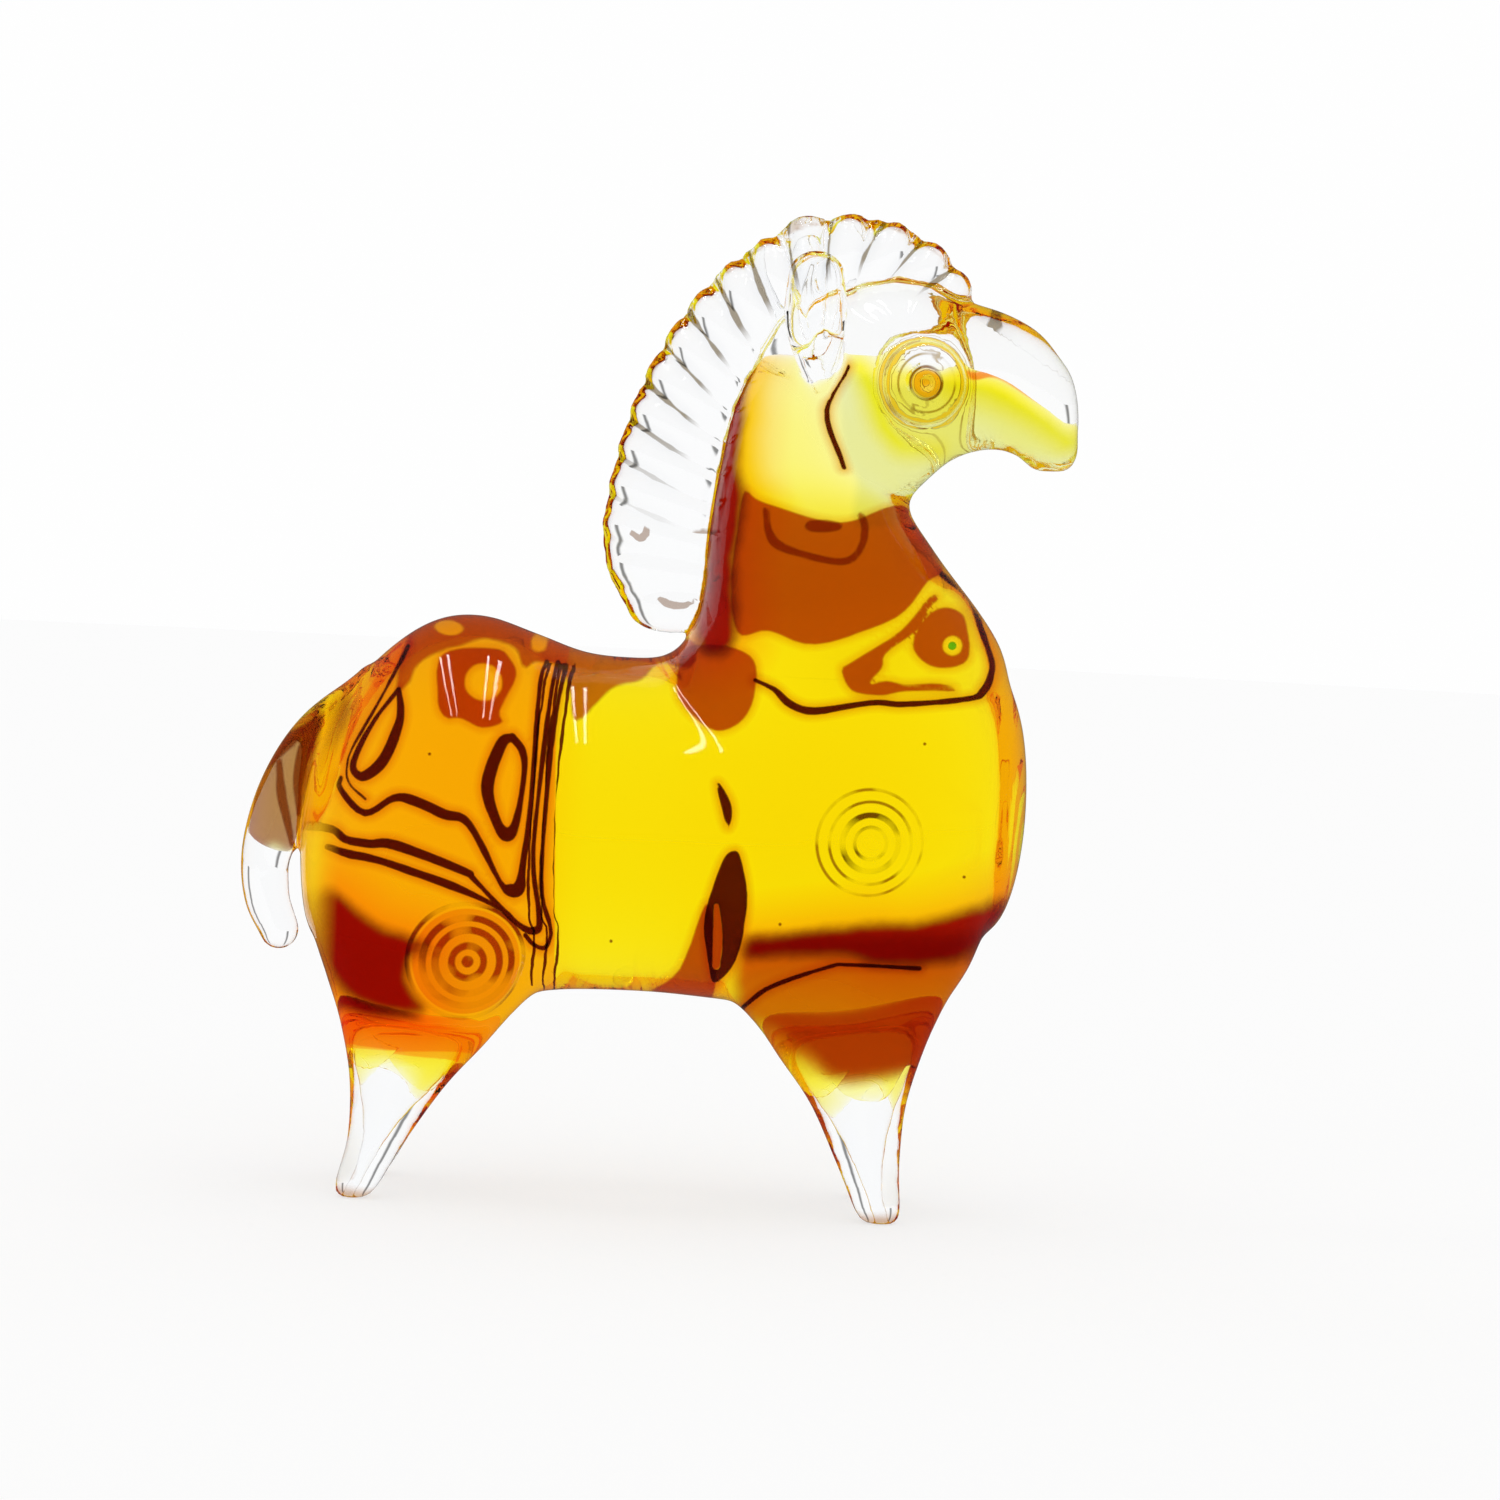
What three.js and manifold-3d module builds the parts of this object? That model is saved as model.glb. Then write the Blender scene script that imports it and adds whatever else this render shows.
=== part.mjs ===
// Solid glass horse, worked hot and fused into one piece: a heavy round body on four stub legs,
// a crimped mane, two cupped ears, a drooping tail, and ringed bosses on the eyes, shoulders and haunches.
// Millimetres, +Z up, nose toward +X, feet on z = 0. Sizes are real sizes of the figure.
import * as THREE from 'three';
import { mergeVertices } from 'three/addons/utils/BufferGeometryUtils.js';
import Module from 'manifold-3d';

const wasm = await Module();
wasm.setup();

// Driving sizes
const horseHeight = 180;
const rumpTop = 104.3;
const bellyHeight = 38;
const eyeRadius = 8.2;
const shoulderRadius = 8.1;
const haunchRadius = 9.6;
const footSpread = 15.5;
const footRadius = 4.3;
const crimpCount = 15;
const amber = 0xe8a50c;

// A station is one oval section: its centre, its half size in the side view (deep) and across (wide).
const station = (x, z, deep, wide, y = 0) => ({ x, y, z, deep, wide });

const xAxis = new THREE.Vector3(1, 0, 0);
const yAxis = new THREE.Vector3(0, 1, 0);
const zAxis = new THREE.Vector3(0, 0, 1);

// Rounds off an end: smaller and smaller ovals on a quarter ellipse that runs on by a given length.
const domeSteps = [0.35, 0.65, 0.88];

// A closed tube through the stations, smooth between them, with a dome at each end. Its ovals stand
// square to the path, or all in one plane where a fixed direction of their depth is given.
function loft(stations, { rings = 2, sides = 20, domes = [4, 4], depth = null, shape = () => 1 } = {}) {
  const centres = new THREE.CatmullRomCurve3(stations.map((s) => new THREE.Vector3(s.x, s.y, s.z)));
  const sizes = new THREE.CatmullRomCurve3(stations.map((s) => new THREE.Vector3(s.deep, s.wide, 0)));
  const steps = rings * (stations.length - 1);
  const sections = [];
  const section = (t, shift, scale) => {
    const tangent = centres.getTangent(t).normalize();
    const square = new THREE.Vector3().crossVectors(tangent, yAxis).normalize();
    const up = depth ? depth.clone().multiplyScalar(Math.sign(square.dot(depth))) : square;
    const across = depth ? yAxis : new THREE.Vector3().crossVectors(up, tangent);
    const centre = centres.getPoint(t).addScaledVector(tangent, shift);
    const size = sizes.getPoint(t).multiplyScalar(scale);
    sections.push({ t, centre, up, across, deep: size.x, wide: size.y });
  };
  const [startDome, endDome] = domes;
  const shrink = (share) => Math.sqrt(1 - share * share);
  for (const share of [...domeSteps].reverse()) section(0, -startDome * share, shrink(share));
  for (let step = 0; step <= steps; step += 1) section(step / steps, 0, 1);
  for (const share of domeSteps) section(1, endDome * share, shrink(share));

  const points = [];
  for (const { t, centre, up, across, deep, wide } of sections) {
    for (let side = 0; side < sides; side += 1) {
      const angle = (2 * Math.PI * side) / sides;
      const swell = shape(t, angle);
      const point = centre.clone();
      point.addScaledVector(up, deep * swell * Math.cos(angle));
      point.addScaledVector(across, wide * swell * Math.sin(angle));
      points.push(point.x, point.y, point.z);
    }
  }
  const startPole = points.length / 3;
  const first = centres.getPoint(0).addScaledVector(centres.getTangent(0), -startDome);
  const last = centres.getPoint(1).addScaledVector(centres.getTangent(1), endDome);
  points.push(first.x, first.y, first.z, last.x, last.y, last.z);

  const faces = [];
  for (let ring = 0; ring < sections.length - 1; ring += 1) {
    for (let side = 0; side < sides; side += 1) {
      const next = (side + 1) % sides;
      const a = ring * sides + side;
      const b = ring * sides + next;
      faces.push(a, a + sides, b, b, a + sides, b + sides);
    }
  }
  const top = (sections.length - 1) * sides;
  for (let side = 0; side < sides; side += 1) {
    const next = (side + 1) % sides;
    faces.push(startPole, side, next);
    faces.push(startPole + 1, top + next, top + side);
  }
  const geometry = new THREE.BufferGeometry();
  geometry.setAttribute('position', new THREE.Float32BufferAttribute(points, 3));
  geometry.setIndex(faces);
  return geometry;
}

// Solid from a closed geometry, and back again.
function solid(geometry) {
  const bare = geometry.clone();
  bare.deleteAttribute('normal');
  bare.deleteAttribute('uv');
  const merged = mergeVertices(bare, 1e-4);
  return new wasm.Manifold(new wasm.Mesh({
    numProp: 3,
    vertProperties: new Float32Array(merged.attributes.position.array),
    triVerts: new Uint32Array(merged.index.array),
  }));
}

function geometryOf(manifold) {
  const mesh = manifold.getMesh();
  const geometry = new THREE.BufferGeometry();
  geometry.setAttribute('position', new THREE.BufferAttribute(new Float32Array(mesh.vertProperties), 3));
  geometry.setIndex(new THREE.BufferAttribute(new Uint32Array(mesh.triVerts), 1));
  return geometry;
}

// Trunk: wide rump, slightly drawn-in barrel, deep round chest.
function trunk() {
  return loft([
    station(-58, 65, 21.5, 14.5),
    station(-50, 66, 30.4, 21.5),
    station(-41, 68.6, 34.4, 26),
    station(-32, rumpTop - 34.2, 34.2, 27.5),
    station(-22, 69, 32.4, 26.5),
    station(-12, bellyHeight + 30, 30.4, 25),
    station(2, 68, 30.2, 25.5),
    station(18, 68, 31, 28),
    station(34, 69, 31.5, 28.5),
    station(47, 71, 30, 26.2),
    station(55, 72, 26.8, 22.4),
    station(61, 73, 21.6, 17),
  ], { sides: 26, domes: [5.2, 6.4], depth: zAxis });
}

// Chest, neck and back of the head, rising out of the trunk.
function neck() {
  return loft([
    station(33.5, 70, 31, 26.5),
    station(34, 84, 31.8, 27),
    station(32.4, 94, 32.2, 25.5),
    station(33.2, 102, 28.8, 24),
    station(32.2, 109, 25.2, 21.5),
    station(28, 120, 20.4, 18),
    station(25.2, 131, 16.4, 15.5),
    station(27, 145, 15.6, 14),
    station(30, 156, 13.2, 11.5),
  ], { sides: 22, domes: [8, 7], depth: xAxis });
}

// Skull and the long, down-curved muzzle with its drooping lip.
function head() {
  return loft([
    station(24, 148, 15, 12),
    station(34, 147.8, 19.6, 14.5),
    station(43, 149.2, 19.4, 14.3),
    station(51, 151, 14.4, 12),
    station(59, 151, 12.3, 9.8),
    station(65.5, 148.2, 11.8, 9),
    station(70, 145.4, 9.4, 7.6),
  ], { sides: 18, domes: [7, 3.3], depth: zAxis });
}

// The lip is a small roll under the end of the muzzle.
function lip() {
  return loft([
    station(67, 138.8, 3.4, 5),
    station(70.4, 138.8, 3.2, 4.6),
  ], { sides: 10, domes: [3, 2.4] });
}

// One leg: a cone drawn down out of the body and cut flat under the foot.
function frontLeg(hand) {
  return loft([
    station(44, 62, 12, 7, hand * 11),
    station(41, 49, 17.6, 10.4, hand * 12),
    station(35.4, 39.5, 20, 10, hand * 12.8),
    station(36.8, 31, 14.4, 8.4, hand * 13.4),
    station(39.4, 21, 8.8, 6.6, hand * 14.2),
    station(41.6, 11, 6, 5.1, hand * 15),
    station(43.4, 4, 4.6, footRadius, hand * footSpread),
  ], { sides: 12, domes: [6, 6], depth: xAxis });
}

function hindLeg(hand) {
  return loft([
    station(-44, 62, 13, 7, hand * 11),
    station(-41, 49, 17.6, 10.6, hand * 12.4),
    station(-37, 39.5, 19.4, 10.2, hand * 13),
    station(-39.4, 30.5, 14.2, 8.4, hand * 13.4),
    station(-42.6, 21, 8.8, 6.6, hand * 14.2),
    station(-45.8, 11, 5.4, 4.9, hand * 15),
    station(-48.5, 4, 4.2, footRadius - 0.1, hand * footSpread),
  ], { sides: 12, domes: [6, 6], depth: xAxis });
}

// Tail: a thick root out of the rump that droops and ends in a round tip.
function tail() {
  return loft([
    station(-48, 84, 11, 9),
    station(-58, 78.5, 8.6, 7),
    station(-65, 70, 6.6, 5.6),
    station(-69.2, 60.5, 4.6, 4.6),
    station(-69, 52, 4.1, 4),
    station(-66.4, 45.6, 3.5, 3.5),
  ], { sides: 10, domes: [4, 3.4] });
}

// Mane: a flat crest round the back of the neck and over the poll, pinched into crimps across it.
function mane() {
  const smoothEnd = 0.1;
  const crimpDepth = 0.05;
  const crimpLean = 1.3;
  const crimps = (t, angle) => {
    const strength = THREE.MathUtils.smoothstep(t, smoothEnd, smoothEnd + 0.3);
    const phase = 2 * Math.PI * crimpCount * t + crimpLean * Math.cos(angle);
    return 1 + crimpDepth * strength * Math.cos(phase);
  };
  return loft([
    station(1.6, 107.5, 7.8, 4.6),
    station(-0.6, 118, 10.9, 5),
    station(0.2, 131, 10.6, 5),
    station(3.8, 145, 10.2, 5),
    station(11.2, 157.8, 10.2, 5),
    station(21, 167, 9.8, 5),
    station(32, 171, 8.9, 5.2),
    station(42, 168.6, 7.8, 5),
    station(47.4, 165.4, 6, 4.6),
  ], { rings: 10, sides: 10, domes: [4.4, 4], shape: crimps });
}

// Ear: a drop of glass pressed on by its point, opening upward into a hollow cup.
function ear(hand) {
  const drop = solid(loft([
    station(26, 148.5, 1.8, 1.8, hand * 13.2),
    station(25.4, 154, 4.3, 3, hand * 15),
    station(24.8, 161, 5.6, 3.5, hand * 16.4),
    station(24.6, 167.6, 5, 3.2, hand * 17),
  ], { sides: 10, domes: [2.4, 4.4] }));
  const cup = new THREE.SphereGeometry(1, 14, 8);
  cup.scale(3, 2.4, 8);
  cup.translate(25.6, hand * 19.2, 163);
  return drop.subtract(solid(cup));
}

// Boss stamped with rings: outer ring, groove, inner ring, groove and a domed button.
function boss(radius) {
  const ridge = 1.3;
  const groove = 0.4;
  const root = 3.5;
  const profile = [
    [0, -root], [1, -root], [0.96, ridge * 0.7], [0.85, ridge], [0.7, groove], [0.54, groove],
    [0.4, ridge], [0.28, groove], [0.2, ridge], [0, ridge * 1.2],
  ];
  const points = profile.map(([share, height]) => new THREE.Vector2(share * radius, height));
  return new THREE.LatheGeometry(points, 14);
}

// Sets a boss square on the body where a straight line from outside first meets it.
function stamp(body, radius, from, toward) {
  const origin = new THREE.Vector3(...from);
  const ray = new THREE.Raycaster(origin, new THREE.Vector3(...toward).sub(origin).normalize());
  const [hit] = ray.intersectObject(new THREE.Mesh(body, new THREE.MeshBasicMaterial()));
  const geometry = boss(radius);
  geometry.applyQuaternion(new THREE.Quaternion().setFromUnitVectors(yAxis, hit.face.normal));
  geometry.translate(hit.point.x, hit.point.y, hit.point.z);
  return solid(geometry);
}

// Everything is fused, then the feet are ground flat on z = 0.
let body = solid(trunk());
for (const piece of [neck(), head()]) body = body.add(solid(piece));
for (const hand of [-1, 1]) body = body.add(solid(frontLeg(hand))).add(solid(hindLeg(hand)));
const bare = geometryOf(body);
for (const piece of [lip(), tail(), mane()]) body = body.add(solid(piece));
for (const hand of [-1, 1]) {
  body = body.add(ear(hand));
  body = body.add(stamp(bare, eyeRadius, [45.3, hand * 60, 149.8], [45.3, 0, 149.8]));
  body = body.add(stamp(bare, shoulderRadius, [39.6, hand * 60, 66], [39.6, 0, 67.2]));
  body = body.add(stamp(bare, haunchRadius, [-32.4, hand * 60, 33], [-32.4, 0, 47]));
}
const floorCut = new THREE.BoxGeometry(2 * horseHeight, horseHeight, 20);
floorCut.translate(0, 0, -10);
body = body.subtract(solid(floorCut));

// The origin is on the floor, under the middle of the figure.
const form = geometryOf(body);
form.computeBoundingBox();
form.translate(-form.boundingBox.getCenter(new THREE.Vector3()).x, 0, 0);

const group = new THREE.Group();
const horse = new THREE.Mesh(
  form,
  new THREE.MeshStandardMaterial({ color: amber, roughness: 0.03, metalness: 0 }),
);
horse.name = 'glass_horse';
group.add(horse);

export default group;
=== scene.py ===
# %% [markdown]
# # A solid glass horse
# The figure is one lump of glass. A core of amber glass was covered with clear glass, pulled and pinched
# while soft into a body, neck, head and four stub legs, and dressed with bits of clear glass: a crimped
# mane, two cupped ears and a tail, and six pads stamped with rings. Everything is melted together, so
# nothing on it has a hard joint. This lesson makes plain tubes first and melts them as the fire does.

# %% Load the frame
import math
import bmesh
import bpy
import numpy as np
import openvdb as vdb
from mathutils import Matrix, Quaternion, Vector


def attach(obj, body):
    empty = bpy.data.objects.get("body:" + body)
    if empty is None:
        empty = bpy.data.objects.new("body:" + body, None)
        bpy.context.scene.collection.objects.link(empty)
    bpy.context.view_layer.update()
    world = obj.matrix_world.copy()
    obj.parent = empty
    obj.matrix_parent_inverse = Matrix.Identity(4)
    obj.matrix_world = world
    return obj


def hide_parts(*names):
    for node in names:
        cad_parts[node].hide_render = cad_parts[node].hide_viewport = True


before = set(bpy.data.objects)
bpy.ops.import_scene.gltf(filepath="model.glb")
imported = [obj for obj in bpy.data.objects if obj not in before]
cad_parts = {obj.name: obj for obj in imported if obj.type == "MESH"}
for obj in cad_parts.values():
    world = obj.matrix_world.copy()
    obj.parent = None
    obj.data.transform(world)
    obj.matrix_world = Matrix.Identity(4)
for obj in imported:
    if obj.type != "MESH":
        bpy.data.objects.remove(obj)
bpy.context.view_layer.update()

# %% [markdown]
# ## Measures
# Lengths in the tables are millimetres, because glass workers think in them, and Blender wants metres.
# The horse stands on z = 0 with its nose toward +X. `cell` is the grain of the melted surface: 0.85 mm
# keeps the pinches of the mane and still gives a light mesh. All the glass is worked out on one block of
# cells, and a cell looks no farther than `far`. The tables are drawn a little behind the middle of the
# finished horse, so `centring` is added to every finished point.

# %% Measures
mm = 0.001
cell = 0.85
low_corner = np.array([-84.0, -38.0, -8.0])
high_corner = np.array([84.0, 38.0, 190.0])
grid_start = np.floor(low_corner / cell).astype(int)
grid_shape = tuple(np.ceil((high_corner - low_corner) / cell).astype(int))
reach_cells = 12
far = reach_cells * cell
centring = np.array([0.52, 0.0, 0.0])
print("cells in the melting pot:", grid_shape, f"of {cell} mm")

# %% [markdown]
# ## Camera
# The photo was taken from beside the horse, three degrees above level, and it leans by about as much. The
# camera comes first, because the folds in the amber are later laid along its lines of sight. A long lens
# far away would flatten the legs, and a short one near by would swell the chest: 0.9 m suits the photo.

# %% Camera
view_width = 0.271
camera_distance = 0.9
aim = Vector((0.0176, 0.0, 0.0824))
elevation = math.radians(3.0)
roll = math.radians(2.88)
lens = bpy.data.cameras.new("camera")
lens.lens = lens.sensor_width * camera_distance / view_width
camera = bpy.data.objects.new("camera", lens)
bpy.context.scene.collection.objects.link(camera)
back = Vector((0, -math.cos(elevation), math.sin(elevation)))
camera.location = aim + back * camera_distance
camera.rotation_mode = "QUATERNION"
camera.rotation_quaternion = (-back).to_track_quat("-Z", "Y") @ Quaternion((0, 0, 1), roll)
bpy.context.scene.camera = camera
print("camera at", [round(c, 3) for c in camera.location], "m, lens", round(lens.lens, 1), "mm")

# %% [markdown]
# ## Tubes
# Each limb starts as a tube through a few oval stations. A station is x, y, z, half size in the side
# view, and half size across. The spline between stations is Catmull-Rom, which passes through every
# station, so the numbers in a table are the real half sizes of the glass. Two domes of given height
# close the ends. The ovals stand square to the path, or along one fixed direction, `depth`, which keeps a
# short thick limb upright. A Bezier curve with a bevel could do it too, but it gives round tubes only.

# %% Smooth rows between stations
def spline(ends, steps):
    t = (np.arange(steps) / steps)[:, None]
    spans = []
    for a, b, c, d in zip(ends, ends[1:], ends[2:], ends[3:]):
        bend = (2 * a - 5 * b + 4 * c - d) * t ** 2 + (3 * b - 3 * c + d - a) * t ** 3
        spans.append(0.5 * (2 * b + (c - a) * t + bend))
    return np.vstack(spans)


def between(stations, steps):
    rows = np.array(stations, float)
    ends = np.vstack([2 * rows[0] - rows[1], rows, 2 * rows[-1] - rows[-2]])
    return np.vstack([spline(ends, steps), rows[-1:]])


# %% Round ends for a row of stations
def domed(rows, domes, steps):
    ahead = np.gradient(rows[:, :3], axis=0)
    ahead /= np.linalg.norm(ahead, axis=1)[:, None]
    turns = np.sin(np.linspace(0, np.pi / 2, steps))[1:, None]
    shrink = np.sqrt(np.clip(1 - turns ** 2, 1e-6, 1))
    first = np.hstack([rows[0, :3] - ahead[0] * turns * domes[0], rows[0, 3:] * shrink])[::-1]
    last = np.hstack([rows[-1, :3] + ahead[-1] * turns * domes[1], rows[-1, 3:] * shrink])
    heads = np.vstack([np.repeat(ahead[:1], len(first), 0), ahead, np.repeat(ahead[-1:], len(last), 0)])
    return np.vstack([first, rows, last]), heads


# %% A closed oval tube
def oval_tube(stations, domes, depth=None, sides=96, steps=14):
    rows, heads = domed(between(stations, steps), domes, steps)
    across = np.array([0.0, 1.0, 0.0])
    up = np.cross(heads, across)
    up /= np.linalg.norm(up, axis=1)[:, None]
    side = np.cross(up, heads)
    if depth is not None:
        up = np.array(depth) * np.sign(up @ np.array(depth))[:, None]
        side = np.repeat(across[None], len(rows), 0)
    angle = np.linspace(0, 2 * np.pi, sides, endpoint=False)
    ring = up[:, None] * (rows[:, 3, None] * np.cos(angle))[..., None]
    ring = ring + side[:, None] * (rows[:, 4, None] * np.sin(angle))[..., None]
    points = (rows[:, None, :3] + ring).reshape(-1, 3)
    index = np.arange(len(rows) * sides).reshape(len(rows), sides)
    near, next_side = index[:-1], np.roll(index, -1, axis=1)
    quads = np.stack([near, index[1:], next_side[1:], next_side[:-1]], -1).reshape(-1, 4)
    poles = np.array([rows[0, :3], rows[-1, :3]])
    count = len(points)
    fans = [[count, a, b] for a, b in zip(index[0], next_side[0])]
    fans += [[count + 1, b, a] for a, b in zip(index[-1], next_side[-1])]
    return np.vstack([points, poles]), quads, np.array(fans)


# %% [markdown]
# ## Melting
# A distance field says, at every cell, how far the nearest glass is: below zero is inside. Blender's
# own OpenVDB library turns a closed mesh into such a field. Two fields are melted together with a
# smooth minimum, which fills the crease between them like surface tension does. A Boolean would leave
# a knife-sharp crease there, which hot glass never has.

# %% Fields
def field_of(tube):
    points, quads, triangles = tube
    grid = vdb.FloatGrid.createLevelSetFromPolygons(
        points.astype(np.float32), triangles=triangles.astype(np.uint32), quads=quads.astype(np.uint32),
        transform=vdb.createLinearTransform(voxelSize=cell), halfWidth=reach_cells)
    field = np.empty(grid_shape, np.float32)
    grid.copyToArray(field, ijk=tuple(int(i) for i in grid_start))
    return field


def melt(a, b, crease):
    blend = np.clip(crease - np.abs(a - b), 0, None) / crease
    return np.minimum(a, b) - blend ** 2 * crease / 4


def cut_away(a, b, crease):
    return -melt(-a, b, crease)


def keep_within(a, b, crease):
    return -melt(-a, -b, crease)


def glass_volume(field):
    return round(float((field < 0).sum()) * cell ** 3 / 1000, 1)


# %% Fire polish
def soften(field, width):
    taps = np.exp(-0.5 * (np.arange(-4, 5) * cell / width) ** 2)
    taps /= taps.sum()
    for axis in range(3):
        padded = np.pad(field, [(4, 4) if k == axis else (0, 0) for k in range(3)], mode="edge")
        length = field.shape[axis]
        field = sum(w * np.take(padded, range(i, i + length), axis) for i, w in enumerate(taps))
    return field.astype(np.float32)


# %% [markdown]
# ## The body's stations
# The trunk is a barrel, wider at the shoulder than at the flank. The neck stands on its front and bends
# back, the head hangs from it with a hooked muzzle, and a small lip lies under that. The tail is a drop
# of clear glass pulled down behind. Each leg is pulled out of the body and ends in a small flat foot, so
# its first station lies deep inside the trunk. Left and right legs are one table with y turned round.

# %% Trunk, neck and head
trunk = [
    (-58, 0, 65, 21.5, 14.5), (-50, 0, 66, 30.4, 21.5), (-41, 0, 68.6, 34.4, 26), (-32, 0, 70.1, 34.2, 27.5),
    (-22, 0, 69, 32.4, 26.5), (-12, 0, 68, 30.4, 25), (2, 0, 68, 30.2, 25.5), (18, 0, 68, 31, 28),
    (34, 0, 69, 31.5, 28.5), (47, 0, 71, 30, 26.2), (55, 0, 72, 26.8, 22.4), (61, 0, 73, 21.6, 17),
]
neck = [
    (33.5, 0, 70, 30.4, 26), (33.6, 0, 84, 31, 26.5), (32.2, 0, 94, 31.4, 25), (33.2, 0, 102, 28.6, 24),
    (32.2, 0, 109, 25.2, 21.5), (28, 0, 120, 20.4, 18), (25.2, 0, 131, 16.4, 15.5), (27, 0, 145, 15.6, 14),
    (30, 0, 156, 13.2, 11.5),
]
head = [
    (24, 0, 148, 15, 12), (34, 0, 147.8, 19.6, 14.5), (43, 0, 149.2, 19.4, 14.3), (51, 0, 151, 14.4, 12),
    (59, 0, 151, 12.3, 9.8), (65.5, 0, 148.2, 11.8, 9), (70, 0, 145.4, 9.4, 7.6),
]
lip = [(67, 0, 138.8, 3.4, 5), (70.4, 0, 138.8, 3.2, 4.6)]

# %% Tail and legs
foot_spread = 15.5
tail = [
    (-48, 0, 84, 11, 9), (-58, 0, 78.5, 8.6, 7), (-65, 0, 70, 6.6, 5.6), (-69.2, 0, 60.5, 4.6, 4.6),
    (-69, 0, 52, 4.1, 4), (-66.4, 0, 45.6, 3.5, 3.5),
]


def front_leg(hand):
    return [
        (44, hand * 11, 60, 12, 7), (41, hand * 12, 48, 16.5, 9.6), (36.6, hand * 12.8, 39.5, 17.6, 9.6),
        (37, hand * 13.4, 31, 13.9, 8.4), (39.4, hand * 14.2, 21, 8.8, 6.6),
        (41.6, hand * 15, 11, 6, 5.1), (43.4, hand * foot_spread, 4, 4.6, 4.3),
    ]


def hind_leg(hand):
    return [
        (-44, hand * 11, 60, 13, 7), (-41.5, hand * 12.4, 48, 16.4, 9.8), (-38.6, hand * 13, 39.5, 17.4, 9.8),
        (-39.6, hand * 13.4, 30.5, 13.8, 8.4), (-42.6, hand * 14.2, 21, 8.8, 6.6),
        (-45.8, hand * 15, 11, 5.4, 4.9), (-48.5, hand * foot_spread, 4, 4.2, 4.2),
    ]


# %% [markdown]
# ## Melt the body
# The legs melt into the belly over a wide crease, because they were pulled from it. Neck and head join
# more tightly. `bare` is the fire-polished body before anything is laid on it, and it is kept, because
# the core has to stay inside it and the pads are set on it.

# %% Melt the body
x_axis, z_axis = (1.0, 0.0, 0.0), (0.0, 0.0, 1.0)
leg_crease, joint_crease, bit_crease = 9, 4, 2
polish = 1.4
body = melt(field_of(oval_tube(trunk, (5.2, 6.4), z_axis)), field_of(oval_tube(neck, (8, 7), x_axis)),
            joint_crease)
leg_fields = [field_of(oval_tube(leg(hand), (6, 6), x_axis))
              for hand in (-1, 1) for leg in (front_leg, hind_leg)]
for leg_field in leg_fields:
    body = melt(body, leg_field, leg_crease)
bare = soften(melt(body, field_of(oval_tube(head, (7, 3.8), z_axis)), joint_crease), polish)
body = melt(bare, field_of(oval_tube(lip, (3, 2.4))), bit_crease)
body = melt(body, field_of(oval_tube(tail, (4, 3.4))), bit_crease)
print("bare body", glass_volume(bare), "cm3, with lip and tail", glass_volume(body))

# %% [markdown]
# ## Tools at the bench
# Three tools are used on the soft body. `drop` is a blob of glass, an ellipsoid that may be tipped.
# `sample` reads a field at any point between cells. `mesh_field` takes a mesh that Geometry Nodes grew
# and turns it into a field, so that it can be melted on like the rest.

# %% A drop of glass
# The open rows of cell middles broadcast to the whole block only where a sum needs them.
cell_rows = [(grid_start[k] + np.arange(grid_shape[k])) * cell for k in range(3)]
gx, gy, gz = np.meshgrid(*cell_rows, indexing="ij", sparse=True)


def clipped(field):
    return np.clip(np.broadcast_to(field, grid_shape), -far, far).astype(np.float32)


def drop(centre, sizes, turn=0.0):
    dx, dy, dz = gx - centre[0], gy - centre[1], gz - centre[2]
    c, s = math.cos(math.radians(turn)), math.sin(math.radians(turn))
    ahead, aside, above = (dx * c + dz * s) / sizes[0], dy / sizes[1], (dz * c - dx * s) / sizes[2]
    return clipped((np.sqrt(ahead ** 2 + aside ** 2 + above ** 2) - 1) * min(sizes))


# %% Read a field at points
def sample(field, points):
    spots = points / cell - grid_start
    base = np.clip(np.floor(spots).astype(int), 0, np.array(grid_shape) - 2)
    part = spots - base
    total = np.zeros(len(points))
    for corner in np.ndindex(2, 2, 2):
        weight = np.prod(np.where(corner, part, 1 - part), axis=1)
        total += weight * field[tuple((base + corner).T)]
    return total


# %% A mesh melted into a field
def mesh_field(mesh):
    points = np.empty(len(mesh.vertices) * 3, np.float32)
    mesh.vertices.foreach_get("co", points)
    mesh.calc_loop_triangles()
    faces = np.empty(len(mesh.loop_triangles) * 3, np.int32)
    mesh.loop_triangles.foreach_get("vertices", faces)
    return field_of((points.reshape(-1, 3), np.zeros((0, 4), np.uint32), faces.reshape(-1, 3)))


# %% [markdown]
# ## Plain values of the clear glass
# Clear glass is a Principled BSDF that lets all light through. What is the same all over it is set on the
# shader itself. The index is 1.4, a little under real glass, which keeps the dark rims as thin as the
# photo's, and the low tint of its mirror keeps the studio's gleam soft. Its colour comes later, once the
# marks are there. It is made now, because the node trees that follow lay it on what they grow.

# %% Plain values of the clear glass
def new_material(name):
    material = bpy.data.materials.new(name)
    material.use_nodes = True
    return material, material.node_tree, material.node_tree.nodes["Principled BSDF"]


clear, clear_tree, clear_shader = new_material("clear glass")
clear_shader.inputs["Specular Tint"].default_value = (0.3, 0.3, 0.3, 1)
clear_shader.inputs["Roughness"].default_value = 0
clear_shader.inputs["IOR"].default_value = 1.4
clear_shader.inputs["Transmission Weight"].default_value = 1
print("made", clear.name)

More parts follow.
